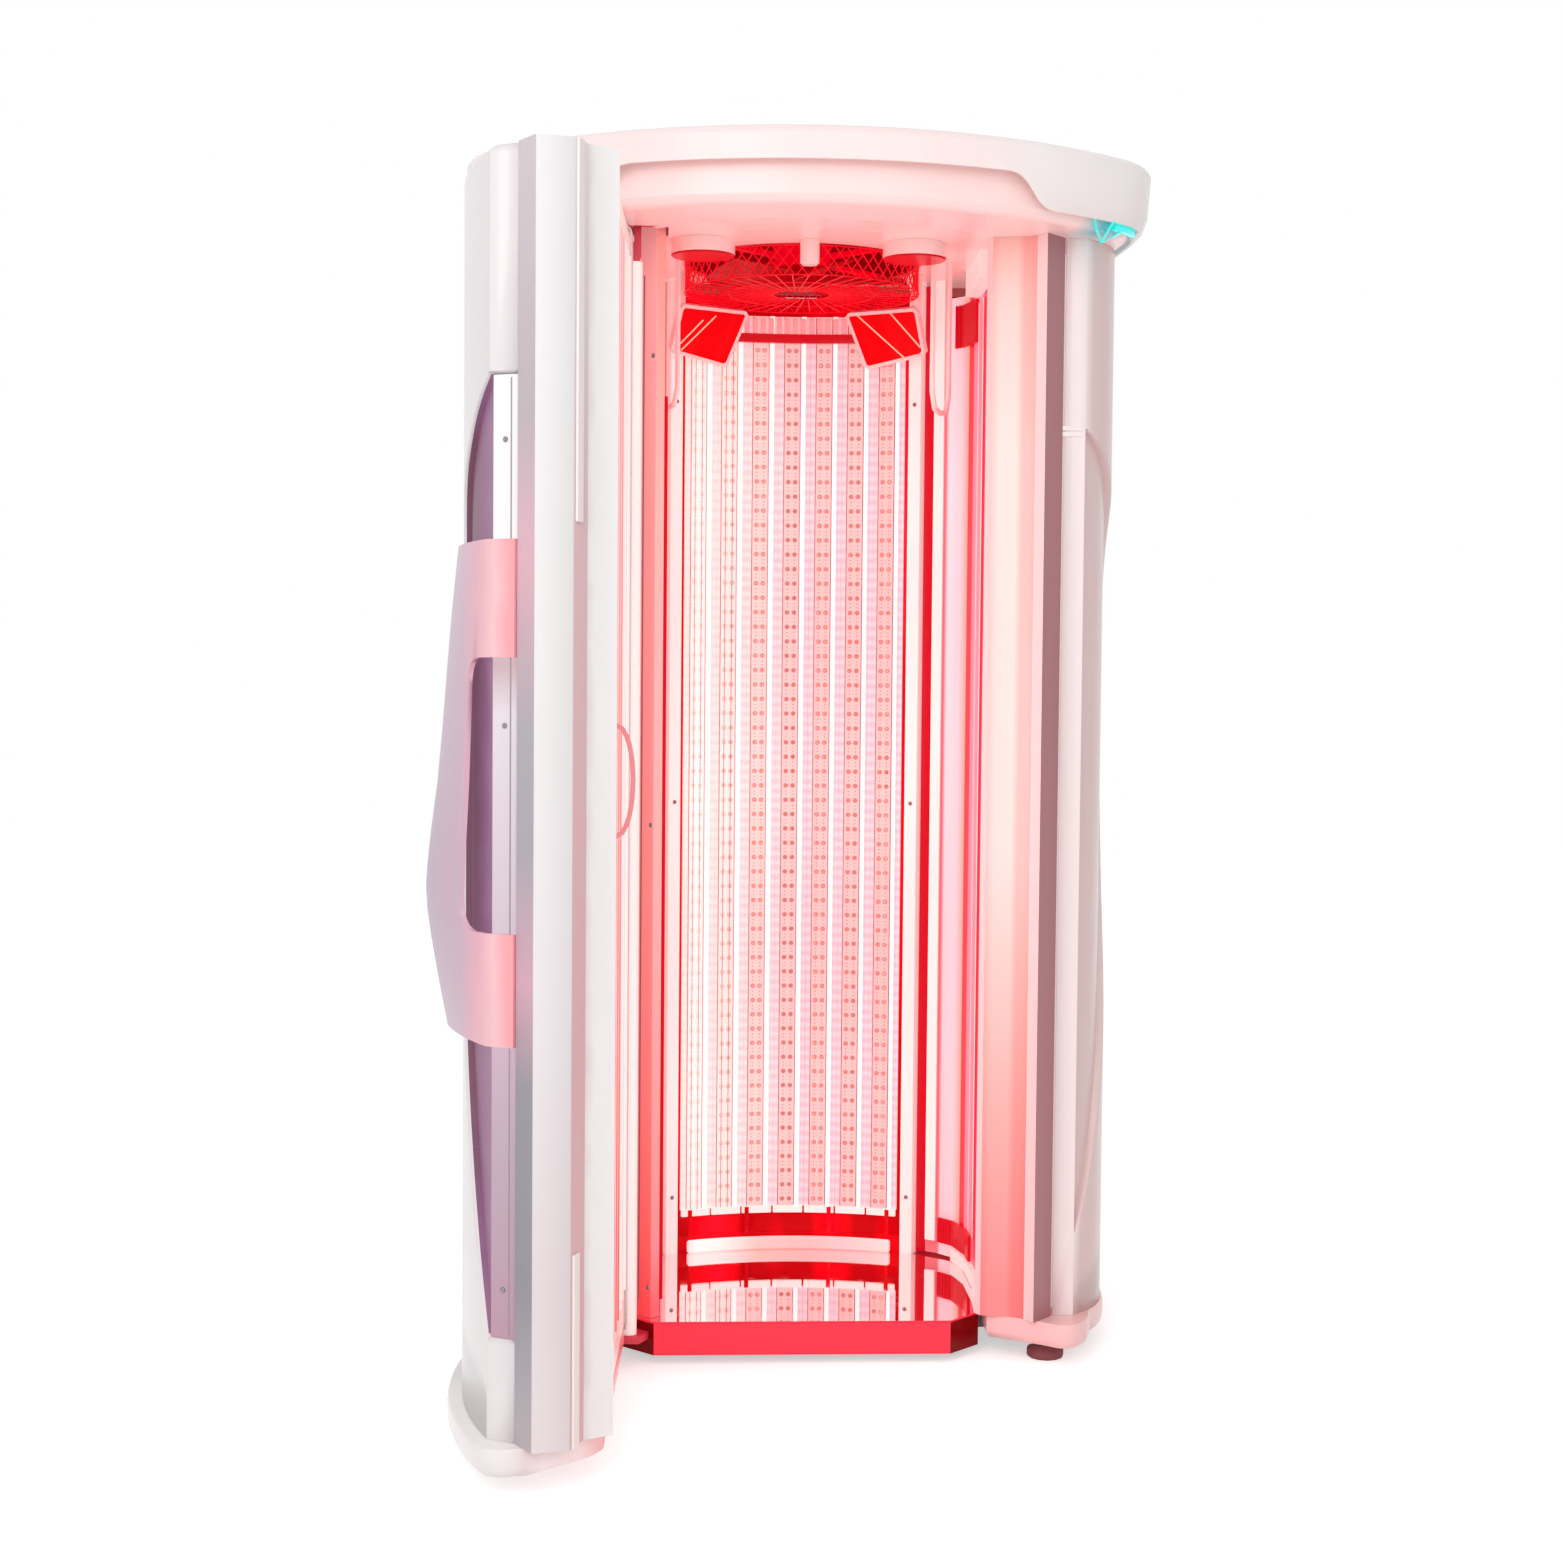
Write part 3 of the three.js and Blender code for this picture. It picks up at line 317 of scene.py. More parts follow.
def lit_sheet(name, code, glow, strength, grain, gloss=0.3):
    """Glowing sheet: the diodes' own light over them, painted light on parts that are no lamp. Its colour
    swells and fades a little, in patches of its grain.
    """
    material, tree, shader, place = surface(name)
    cloud = add(tree, "ShaderNodeTexNoise", {"Vector": place, "Scale": 1 / (grain * MM), "Detail": 2.0})
    light = add(tree, "ShaderNodeMix", {
        "Factor": cloud, "A": linear(glow), "B": darker(glow, 0.14)}, data_type="RGBA")
    tint = add(tree, "ShaderNodeMix", {
        "Factor": cloud, "A": linear(code), "B": darker(code, 0.1)}, data_type="RGBA")
    fill(tree, shader, {
        "Base Color": tint, "Roughness": 0.25, "Specular IOR Level": gloss, "Coat Weight": gloss,
        "Coat Roughness": 0.05, "Emission Color": light, "Emission Strength": strength})
    return material


def joint_strip():
    """Strip between two boards, lilac, painted paler cream towards the left as a painted sheen, with faint
    ties about 20 mm apart.
    """
    material, tree, shader, place = surface("board_joint")
    ties = add(tree, "ShaderNodeTexWave", {
        "Vector": place, "Scale": 2 * math.pi / (20 * 20 * MM), "Distortion": 0.4},
        wave_type="BANDS", bands_direction="Z")
    parts = add(tree, "ShaderNodeSeparateXYZ", {"Vector": place})
    across = add(tree, "ShaderNodeMapRange", {
        "Value": parts.outputs["X"], "From Min": WALL_SPAN[0] * MM, "From Max": WALL_SPAN[1] * MM})
    plain = add(tree, "ShaderNodeValToRGB", {"Fac": across}, {0.0: "#F0DAD4", 1.0: "#E4BAC4"})
    paler = add(tree, "ShaderNodeValToRGB", {"Fac": across}, {0.0: "#F6E6E1", 1.0: "#ECCBD2"})
    tint = add(tree, "ShaderNodeMix", {
        "Factor": ties.outputs["Fac"], "A": plain, "B": paler}, data_type="RGBA")
    fill(tree, shader, {
        "Base Color": tint, "Emission Color": tint, "Emission Strength": 0.42, "Roughness": 0.3})
    return material


def graded(name, stops, span, roughness, strength=0.0, haze=0, axis="X"):
    """Sheet whose colour runs along an axis over a span in millimetres, blurred by a haze."""
    material, tree, shader, place = surface(name)
    along = add(tree, "ShaderNodeSeparateXYZ", {"Vector": place})
    cloud = add(tree, "ShaderNodeTexNoise", {"Vector": place, "Scale": 1 / (90 * MM), "Detail": 2.0})
    drift = add(tree, "ShaderNodeMath", {
        0: cloud, 1: haze * MM, 2: along.outputs[axis]}, operation="MULTIPLY_ADD")
    share = add(tree, "ShaderNodeMapRange", {
        "Value": drift, "From Min": span[0] * MM, "From Max": span[1] * MM})
    ramp = add(tree, "ShaderNodeValToRGB", {"Fac": share}, stops)
    fill(tree, shader, {
        "Base Color": ramp, "Emission Color": ramp, "Emission Strength": strength, "Roughness": roughness,
        "Specular IOR Level": 0.35})
    return material


def flange_coat():
    """White coat with the booth's red cast painted on: soft bands of painted light across the flange, and a
    painted red that deepens towards the floor.
    """
    material, tree, shader, place = surface("coated_flange")
    parts = add(tree, "ShaderNodeSeparateXYZ", {"Vector": place})
    across = add(tree, "ShaderNodeMapRange", {
        "Value": parts.outputs["X"], "From Min": FLANGE_WIDTH[0] * MM, "From Max": FLANGE_WIDTH[1] * MM})
    bands = add(tree, "ShaderNodeValToRGB", {"Fac": across}, {
        0.0: "#F9E6E3", 0.18: "#F8CFCB", 0.36: "#FBEBE8", 0.68: "#FCEFEC", 0.8: "#F9D0CC", 1.0: "#F9D2CF"})
    height = add(tree, "ShaderNodeMapRange", {
        "Value": parts.outputs["Z"], "From Min": FLANGE_HEIGHT[0] * MM, "From Max": FLANGE_HEIGHT[1] * MM})
    cast = add(tree, "ShaderNodeValToRGB", {"Fac": height}, {
        0.0: "#FF9EA2", 0.18: "#FFC6C4", 0.42: "#FFF4F2", 0.8: "#FFF6F4", 1.0: "#FFDCD6"})
    tint = add(tree, "ShaderNodeMix", {
        "Factor": 1.0, "A": bands, "B": cast}, data_type="RGBA", blend_type="MULTIPLY")
    fill(tree, shader, {"Base Color": tint, "Roughness": 0.32, "Specular IOR Level": 0.4})
    return material


def red_reflector():
    """Bright aluminium sheet lit by the red diodes: darker blocks, 90 mm wide, where no diode stands."""
    material, tree, shader, place = surface("red_lit_reflector")
    wide = add(tree, "ShaderNodeMapping", {"Vector": place, "Scale": (1 / (90 * MM), 0.0, 1 / (600 * MM))})
    blocks = add(tree, "ShaderNodeTexVoronoi", {"Vector": wide, "Scale": 1.0})
    ramp = add(tree, "ShaderNodeValToRGB", {"Fac": blocks}, {
        0.15: "#F20A22", 0.4: "#D00010", 0.62: "#A00008"})
    fill(tree, shader, {
        "Base Color": ramp, "Emission Color": ramp, "Emission Strength": 0.72, "Roughness": 0.25,
        "Specular IOR Level": 0.1})
    return material


def tray_moulding():
    """Moulded white ABS of the ceiling with painted light: a pink cast, red under the fan and behind the
    lamp wall, cyan round the lens in each front corner, and a faint glow over it all."""
    material, tree, shader, place = surface("moulded_ceiling_abs")
    cloud = add(tree, "ShaderNodeTexNoise", {"Vector": place, "Scale": 1 / (260 * MM), "Detail": 3.0})
    plain = add(tree, "ShaderNodeMix", {
        "Factor": cloud, "A": linear("#F6DAD7"), "B": linear("#F6D3D0")}, data_type="RGBA")
    fan = add(tree, "ShaderNodeVectorMath", {
        0: place, 1: Vector((*FAN_CENTRE, CEILING)) * MM}, operation="DISTANCE")
    under = add(tree, "ShaderNodeMapRange", {
        "Value": fan, "From Min": GUARD_RADIUS * MM, "From Max": (GUARD_RADIUS + 8) * MM,
        "To Min": 1.0, "To Max": 0.0})
    parts = add(tree, "ShaderNodeSeparateXYZ", {"Vector": place})
    behind = add(tree, "ShaderNodeMapRange", {
        "Value": parts.outputs["Y"], "From Min": TRAY_REAR[0] * MM, "From Max": TRAY_REAR[1] * MM})
    lit = add(tree, "ShaderNodeMath", {0: under, 1: behind}, operation="MAXIMUM")
    red = add(tree, "ShaderNodeMix", {"Factor": lit, "A": plain, "B": linear("#B0000C")}, data_type="RGBA")
    side = add(tree, "ShaderNodeMath", {0: parts.outputs["X"]}, operation="ABSOLUTE")
    mirrored = add(tree, "ShaderNodeCombineXYZ", {
        "X": side, "Y": parts.outputs["Y"], "Z": parts.outputs["Z"]})
    lens = add(tree, "ShaderNodeVectorMath", {
        0: mirrored, 1: Vector(ACCENT_PLACE) * MM}, operation="DISTANCE")
    halo = add(tree, "ShaderNodeMapRange", {
        "Value": lens, "From Min": ACCENT_HALO[0] * MM, "From Max": ACCENT_HALO[1] * MM,
        "To Min": 1.0, "To Max": 0.0})
    cyan = add(tree, "ShaderNodeMix", {"Factor": halo, "A": red, "B": linear("#5FB9C2")}, data_type="RGBA")
    fill(tree, shader, {
        "Base Color": cyan, "Emission Color": cyan, "Emission Strength": 0.12, "Roughness": 0.26,
        "Coat Weight": 0.12, "Coat Roughness": 0.1})
    return material


def mirror_sheet():
    """Mirror-polished sheet with faint scuffs about 40 mm long."""
    material, tree, shader, place = surface("mirror_sheet")
    scuff = add(tree, "ShaderNodeTexNoise", {"Vector": place, "Scale": 1 / (40 * MM), "Detail": 6.0})
    gloss = add(tree, "ShaderNodeMapRange", {
        "Value": scuff, "From Min": 0.45, "From Max": 0.75, "To Min": 0.02, "To Max": 0.09})
    fill(tree, shader, {"Base Color": linear("#F3E9EA"), "Metallic": 1.0, "Roughness": gloss})
    return material


# Finishes. After the colours come the roughness of a moulding and its glow, the metallic share, roughness,
# streak and glow of a metal, the roughness of a coat, the glow, patch width and gloss of a lit sheet, and
# the span, roughness and glow of a graded one.
GLOSS_WHITE = moulded_gloss("moulded_white_abs", "#E9E2E3", 0.24)
SHELL_WHITE = moulded_gloss("moulded_warm_white_abs", "#F2E5E4", 0.24)
# Painted shade: the side shells are painted a darker pinkish grey in a band near their front corner.
SHELL_SIDE = graded("moulded_shell_abs_painted_shade", {
    0.0: "#F6E9E8", 0.03: "#E4C9C7", 0.12: "#E2C6C4", 0.6: "#EEDEDC", 1.0: "#F2E5E4"
}, (-262, 240), 0.24, axis="Y")
# Painted light: the pink cast and faint glow of the booth's red light, on the white vent slots of the
# ceiling.
PINK_CAST_WHITE = moulded_gloss("moulded_abs_painted_pink_cast", "#F8E4E2", 0.26, "#FFC8C4", 0.04)
# Painted light: the white canopy is painted pinker across its middle and given a faint glow, for the
# booth's red light.
CANOPY_WHITE = graded("moulded_canopy_abs", {
    0.0: "#F3E8E7", 0.2: "#F8E2E0", 0.68: "#F8E3E1", 0.84: "#F3EAE9", 1.0: "#F0E8E7"
}, (-620, 620), 0.22, 0.03, haze=60)
# Painted light: the pink cast and glow of the booth's red light, on the white nozzle and the sides of the
# ceiling lights.
LIT_WHITE = moulded_gloss("moulded_blush_abs_lit", "#F6D8D5", 0.26, "#FFBDB8", 0.1)
# Painted light: the white plinths are painted pink with a faint glow, for the red light that falls on them.
PLINTH_WHITE = moulded_gloss("moulded_plinth_painted_red_light", "#F4C8C7", 0.26, "#FF9C9C", 0.05)
# Painted light: the door's white plinth is painted pink, with a glow, towards the side of the door's lamps.
DOOR_PLINTH = graded("moulded_door_plinth_painted_red_light", {
    0.0: "#E6DFDF", 0.46: "#E6DFDF", 0.56: "#E4D3D3", 0.64: "#FAEAEA", 0.83: "#FCE8E8", 0.93: "#F4BABC",
    1.0: "#F09A9A"}, (-640, -335), 0.26, 0.1)
SATIN_WHITE = powder_coat("satin_white_moulding", "#FAF0EF", 0.42)
WHITE_STEEL = powder_coat("powder_coated_steel", "#FAF1F0", 0.35)
RED_STEEL = powder_coat("red_lit_steel", "#E23A50", 0.4)
GREY_STEEL = powder_coat("grey_painted_steel", "#8A8B90", 0.5, 0.3)
RUBBER = powder_coat("black_rubber", "#4A4044", 0.7)
LIT_RUBBER = powder_coat("red_lit_rubber", "#8A4A4E", 0.7)
# Painted light: the white posts, and the other white parts inside the booth in this finish, glow for the
# diodes' light on them.
COATED_POST = drawn_metal("coated_extrusion", "#FAF3F0", 0.0, 0.35, 0.04, 0.26)
# Painted light: salmon red, deepest near the floor, with a glow, for the door lamps' red light on the white
# front post and door rib edges.
RED_LIT_POST = graded("coated_extrusion_painted_red_light", {
    0.0: "#F04D52", 0.06: "#F06362", 0.2: "#F07D7D", 0.4: "#F08C8B", 0.75: "#EC9C9C", 1.0: "#EEA6A6"
}, POST_SPAN, 0.35, 0.42, axis="Z")
# Painted light: paler rose, deepest near the floor, with a glow, for the same red light on the post's side
# to the entrance.
PINK_LIT_POST = graded("coated_extrusion_painted_pink_light", {
    0.0: "#F6666E", 0.06: "#F68E92", 0.2: "#F6A09E", 0.4: "#F6AFAF", 0.75: "#F6B9B2", 1.0: "#F09890"
}, POST_SPAN, 0.35, 0.3, axis="Z")
# Painted light: the white door pull is painted rose, with a glow, for the red light on it.
PINK_LIT_PULL = drawn_metal("coated_pull_painted_red_light", "#DE8C92", 0.0, 0.35, 0.05, 0.2)
ANODISED = drawn_metal("anodised_extrusion", "#F3F1F2", 0.15, 0.38, 0.05)
# Painted reflection and shade: the edge strip is bright above, painted with the mauve that the scoop
# reflects into it below, and with the handle's shade painted in its slot
EDGE_STRIP = graded("polished_edge_strip", {
    0.0: "#BE99A8", 0.2: "#C2ABBA", 0.29: "#CEB2C3", 0.5: "#DACDD6", 0.65: "#E6DBE1", 0.7: "#CCB0B5",
    0.8: "#F2F0F0", 1.0: "#F4F3F3"}, (250, 1741), 0.3, axis="Z")
# Painted shade and reflection: the facets of the door's nose are painted darker towards the floor, and the
# outer one carries painted reflections of the handle's two wraps
NOSE_FRONT = graded("anodised_extrusion_front", {
    0.0: "#E7DDDE", 0.12: "#E3D9DB", 0.36: "#EBE5E8", 0.55: "#ECE8E8", 1.0: "#ECEAEB"
}, NOSE_SPAN, 0.38, axis="Z")
ANODISED_SHADE = graded("anodised_nose_facet_painted_reflection", {
    0.0: "#BAB0B5", 0.12: "#94909A", 0.28: "#9A959E", 0.36: "#DCABBE", 0.46: "#B0A8B2", 0.56: "#B4ACB4",
    0.69: "#E6B6C4", 0.8: "#C2B4BC", 1.0: "#D2C8CC"}, NOSE_SPAN, 0.4, axis="Z")
FOLD_SHADE = drawn_metal("anodised_fold", "#A8989F", 0.2, 0.4, 0.1)
# Painted shade and red light: the walls of the seal channel are painted a rosy grey, deeper towards the
# floor.
CHANNEL_WALL_SHADE = graded("anodised_channel_painted_shade", {
    0.0: "#E2B8BA", 0.3: "#DCB0B4", 0.7: "#DEBABF", 0.85: "#DDD0D3", 1.0: "#EADFE1"
}, NOSE_SPAN, 0.4, axis="Z")
# Painted reflection: the right nose's outer facet is painted dark mauve, for the dark surroundings it
# reflects.
RIGHT_FACET_REFLECTION = drawn_metal("anodised_right_facet_painted_reflection", "#AE767B", 0.3, 0.4, 0.12)
SCREW_STEEL = drawn_metal("stainless_screw", "#97949A", 0.9, 0.25, 0.15)
BRIGHT_SHEET = drawn_metal("bright_aluminium", "#C9C9CE", 0.9, 0.3, 0.1)
BRIGHT_STRIP = lit_sheet("reflector_strip", "#F6E6E4", "#FFF6F4", 0.7, 300)
PALE_STRIP = lit_sheet("reflector_strip_pale", "#F3D8D4", "#FCE2DE", 0.6, 300)
# Painted light in the corner gaps and on the front post, where these strips stand for the booth's red
# light; the same red is on the end ribs of the side lamps.
RED_LIGHT_STRIP = lit_sheet("red_light_strip", "#A00818", "#D00A20", 0.6, 200, 0.1)
RED_LENS = lit_sheet("red_lens", "#A80014", "#C40018", 0.5, 80, 0.1)
FACE_LENS = lit_sheet("face_lamp_lens", "#B80008", "#E4000C", 0.55, 90, 0.08)
# Painted reflection: pale lines on the face lamp lenses, for the reflections of the lamp's tubes.
TUBE_REFLECTION = lit_sheet("lens_painted_tube_reflection", "#F3B5A0", "#FFAF94", 0.6, 30)
CYAN_LENS = lit_sheet("cyan_lens", "#2FBFBB", "#30E0D8", 0.7, 20)
RED_ACRYLIC = lit_sheet("red_acrylic", "#E0203C", "#F4243F", 0.4, 260)
# Painted shade: the skirt's corner chamfers are painted dark maroon, for the dark that their polished faces
# reflect.
RED_ACRYLIC_SHADE = lit_sheet("red_acrylic_corner_painted_shade", "#780004", "#7C0004", 0.2, 120, 0.06)
FAN_PLASTIC = lit_sheet("red_lit_fan", "#8A0006", "#A8000C", 0.55, 60, 0.06)
FAN_HOUSING = lit_sheet("red_lit_housing", "#C00014", "#E0001C", 0.8, 90, 0.06)
GUARD_WIRE = lit_sheet("red_lit_wire", "#B00410", "#F00A20", 0.7, 40, 0.08)
RED_SHEET = lit_sheet("red_lit_sheet", "#8A0410", "#A0000E", 0.5, 60, 0.1)
TEAL_INSIDE = lit_sheet("cyan_lit_inside", "#A8B8BE", "#B8C4C8", 0.45, 120, 0.1)
PEG_PLASTIC = lit_sheet("lamp_end_peg", "#E89AA0", "#F4A4A6", 0.5, 12)
JOINT_STRIP = joint_strip()
# The diodes glow with their own light; the tape, rims and seams are painted paler towards the left of the
# wall, a painted sheen where it is washed out.
DIODE_SHEET = graded("diode_tape", {
    0.0: "#EBC2BD", 0.16: "#F6EAE6", 0.42: "#F2DAD5", 0.6: "#EBC3BE", 1.0: "#E6B4B1"
}, WALL_SPAN, 0.25, 0.48, haze=30)
DIODE_RIM = graded("diode_rim", {
    0.0: "#E2B2AD", 0.2: "#EED3CE", 0.45: "#DDA9A5", 0.65: "#C47B78", 1.0: "#BC706E"
}, WALL_SPAN, 0.3, 0.3, haze=30)
# Dark joint lines of the boards; the same dark line is the painted shadow line at the outer edge of the
# front post.
SEAM_AND_SHADE_LINE = graded("board_seam_and_shade_line", {0.0: "#A07573", 1.0: "#8C5A60"}, WALL_SPAN, 0.4, 0.08, haze=24)
# Painted light: the white heel rail is painted in pink bands and pale highlights, with a glow, for the red
# light along it.
HEEL_PAINTED_LIGHT = graded("heel_rail_painted_red_light", {
    0.0: "#F3B0AC", 0.1: "#FCF3F0", 0.2: "#FBEEEA", 0.37: "#F4BDB7", 0.6: "#F8B3B2", 0.8: "#FCC0C0",
    0.95: "#FDD0CE"}, (-225, 240), 0.3, 0.48, haze=24)
SIDE_BOARD = graded("side_lamp_board", {
    0.0: "#E8384C", 0.3: "#F2929E", 0.5: "#EE7088", 0.53: "#B00E1E", 0.63: "#B81020", 0.65: "#F7968C",
    0.73: "#F8A8A4", 0.77: "#F4BEC6", 0.9: "#F6CDD4", 0.93: "#D4717A"}, (0, 220), 0.3, 0.55, axis="Y")
ROSE_HANDLE = graded("rose_tinted_acrylic", {
    0.0: "#BFA8BC", 0.42: "#CFAEC0", 0.6: "#ECAEBE", 0.8: "#F8C6CC", 0.94: "#FBA8AE"
}, (-640, -478), 0.3, haze=24)
# The scoop's own mauve, with painted light: a glow, and a paler colour towards the handle's slot, lift the
# shade that the handle casts on it.
MAUVE_PANEL = graded("mauve_tinted_panel", {
    0.0: "#6C4258", 0.55: "#73495F", 0.75: "#845A7A", 1.0: "#A27890"}, (-620, -500), 0.5, 0.28, haze=24)
# Painted shade: the white floor of the seal channel is painted rosy grey at one side, fading to white
# across it.
CHANNEL_COAT = graded("coated_channel", {
    0.0: "#DDB8BC", 0.3: "#EFE4E5", 0.55: "#F8F5F4", 1.0: "#F3F0EF"}, (-386, -338), 0.35, haze=24)
FLANGE_COAT = flange_coat()
REFLECTOR = red_reflector()
CEILING_WHITE = tray_moulding()
MIRROR = mirror_sheet()


def from_shut(x, y, z):
    """A place in millimetres on the shut door, carried to the open door, in metres."""
    swung = Matrix.Rotation(-DOOR_OPEN, 3, "Z") @ Vector((x - HINGE[0], y - HINGE[1], 0))
    return Vector((swung.x + HINGE[0], swung.y + HINGE[1], z)) * MM


def spot(x, y, z, turn=0.0):
    """An anchor: a place given in millimetres, and the turn of what stands there."""
    return Vector((x, y, z)) * MM, turn


def on_board(board, across, depth, z):
    """An anchor on a board of the back wall: board number, distance across it, height off its back."""
    turn = (board - (LAMP_COUNT - 1) / 2) * LAMP_PITCH / WALL_RADIUS
    s, c = math.sin(turn), math.cos(turn)
    along, out = across - LAMP_PITCH / 2, WALL_RADIUS - depth - BOARD_GAP
    return spot(WALL_CENTRE[0] + out * s + along * c, WALL_CENTRE[1] + out * c - along * s, z, -turn)


def on_wall(angle, radius, z):
    """An anchor on a circle about the middle of the lamp wall, facing its middle."""
    x = WALL_CENTRE[0] + radius * math.sin(angle)
    y = WALL_CENTRE[1] + radius * math.cos(angle)
    return spot(x, y, z, -angle)


def on_side(side, along, off, z):
    """An anchor off a side panel, at a distance along its line, facing the cabin."""
    for start, end in zip(SIDE_LINE, SIDE_LINE[1:]):
        step = Vector(end) - Vector(start)
        if along <= step.length:
            break
        along -= step.length
    step.normalize()
    inward = Vector((-step.y, step.x))
    place = Vector(start) + step * along + inward * off
    return spot(side * place.x, place.y, z, side * math.atan2(inward.x, -inward.y))


def on_lens(side, across, down):
    """A place on the face of a face lamp lens, from distances across it and down it."""
    level = Vector((LENS_AXIS.y, -LENS_AXIS.x, 0)).normalized()
    place = Vector(LENS_CORNER) + level * across + LENS_AXIS.cross(level) * down
    place += LENS_AXIS * LENS_LINE_LIFT
    return Vector((side * place.x, place.y, place.z)) * MM


def side_distance(point):
    """How far a place stands off the line of the side lamp panel, in millimetres."""
    place = Vector((abs(point.x) / MM, point.y / MM))
    best = 1000.0
    for start, end in zip(SIDE_LINE, SIDE_LINE[1:]):
        a, b = Vector(start), Vector(end)
        share = min(max((place - a).dot(b - a) / (b - a).length_squared, 0), 1)
        best = min(best, (place - a - (b - a) * share).length)
    return best


def back_lamp_face(centre, normal):
    """The bright rib stands further off the wall than the rest of a board."""
    out = math.hypot(centre.x / MM - WALL_CENTRE[0], centre.y / MM - WALL_CENTRE[1])
    return 1 if WALL_RADIUS - out > RIB_OFF else 0


def side_lamp_face(centre, normal):
    """Red board between pale ribs, with a pale heel strip below and a white header above."""
    z = centre.z / MM
    if z < HEEL_TOP + 3 or z > LAMP_TOP + 12:
        return 2
    return 1 if side_distance(centre) > SIDE_RIB_OFF else 0


def front_post_face(centre, normal):
    """Painted red light: salmon on the side turned to the door, paler rose on the side turned to the
    entrance.
    """
    return 1 if normal.x > 0 else 0


def ceiling_light_face(centre, normal):
    return 1 if normal.z < -0.4 else 0


def tray_face(centre, normal):
    """The inside of the tray, seen through the fan opening, is lit red."""
    inward = normal.x * centre.x + normal.y * (centre.y - FAN_CENTRE[1] * MM) < -0.1
    return 1 if normal.z > 0.5 or inward else 0


def canopy_face(centre, normal):
    """The inner side of each end, beside the cyan lens, takes its light, and the inner rear is lit red."""
    if normal.x * centre.x < -0.4:
        return 1
    return 2 if normal.y < -0.5 and centre.y > 0.3 else 0


def door_lamp_face(centre, normal):
    """Ribs stand nearer to the cabin than the board does, and the edges of the outer ones are painted rosy,
    for the red light on them.
    """
    if normal.y < -0.8:
        return 2 if centre.y < -0.55 else 3
    shut = Matrix.Rotation(DOOR_OPEN, 3, "Z")
    depth = HINGE[1] + (shut @ (centre / MM - Vector((*HINGE, 0)))).y
    return 1 if (shut @ normal).y > 0.5 and depth > DOOR_BOARD + 2 else 0


def door_nose_face(centre, normal):
    """Facet by the edge strip in painted lilac shade and reflection, white facets, then the walls of the
    seal channel in painted rosy shade, and its coated floor with painted shade.
    """
    if normal.x < -0.5:
        return 1
    if normal.x > 0.8:
        return 2
    return 3 if normal.x > 0.3 and normal.y < -0.5 else 0


def right_nose_face(centre, normal):
    """Painted dark mauve reflection on the facet turned to the outside, and coated white with painted red
    light on the flange turned to the entrance.
    """
    if normal.x > 0.5 and normal.y < -0.2:
        return 1
    return 2 if normal.y < -0.5 else 0


# Painted reflection: the edge faces of the mirror floor plate are painted red like the skirt, for the red
# they reflect.
def floor_face(centre, normal):
    return 1 if normal.z < 0.5 else 0


def chassis_face(centre, normal):
    """Painted red light: the lower hinge tab is painted bright red, and the upper side, seen in the gap
    round the floor plate, is painted dark red.
    """
    if math.hypot(centre.x / MM - HINGE[0], centre.y / MM - HINGE[1]) < HINGE_TAB:
        return 2
    return 1 if normal.z > 0.5 else 0


# The corner chamfers of the skirt take the painted shade.
def skirt_face(centre, normal):
    return 1 if abs(normal.x) > 0.4 and abs(normal.y) > 0.4 else 0


def body_of(node):
    return frame["nodes"][node]["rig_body"]


def stand_for(node, mesh):
    """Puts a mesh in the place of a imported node, on the same body."""
    skin = bpy.data.objects.new(node + "_skin", mesh)
    scene.collection.objects.link(skin)
    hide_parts(node)
    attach(skin, body_of(node))
    return skin


def dress(node, slot, materials, pick=None, rounding=0.0, smooth=38):
    """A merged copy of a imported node: soft shading up to an angle, rounded edges, a finish by face."""
    mesh = frame["nodes"][node].data.copy()
    mesh.materials.clear()
    for material in materials:
        mesh.materials.append(material)
    form = bmesh.new()
    form.from_mesh(mesh)
    bmesh.ops.remove_doubles(form, verts=form.verts, dist=0.01 * MM)
    bmesh.ops.dissolve_limit(form, angle_limit=math.radians(0.3), verts=form.verts, edges=form.edges)
    for face in form.faces:
        face.smooth = True
        face.material_index = pick(face.calc_center_median(), face.normal) if pick else 0
    form.to_mesh(mesh)
    form.free()
    mesh.set_sharp_from_angle(angle=math.radians(smooth))
    skin = stand_for(node, mesh)
    if rounding:
        edge = skin.modifiers.new("rounded_edge", "BEVEL")
        edge.width = rounding * MM
        edge.segments = 2
        edge.limit_method = "ANGLE"
        edge.angle_limit = math.radians(smooth)
        edge.harden_normals = True
    return skin


def dress_pair(name, *looks, **edges):
    """Dresses the right and the left one of a mirrored pair."""
    for side in ("right", "left"):
        dress(f"{side}_{name}", *looks, **edges)


def mesh_of(form, name, materials=()):
    """Ends a form: its mesh, with these materials."""
    mesh = bpy.data.meshes.new(name)
    form.to_mesh(mesh)
    form.free()
    for material in materials:
        mesh.materials.append(material)
    return mesh


def moved(path, distance):
    """A path in plan, moved to its left by a distance, corners mitred."""
    made = []
    for i, point in enumerate(path):
        before, after = path[max(i - 1, 0)], path[min(i + 1, len(path) - 1)]
        steps = [step.normalized() for step in (point - before, after - point) if step.length]
        sides = [Vector((-step.y, step.x)) for step in steps]
        made.append(point + (sides[0] + sides[-1]) * distance / (1 + sides[0].dot(sides[-1])))
    return made


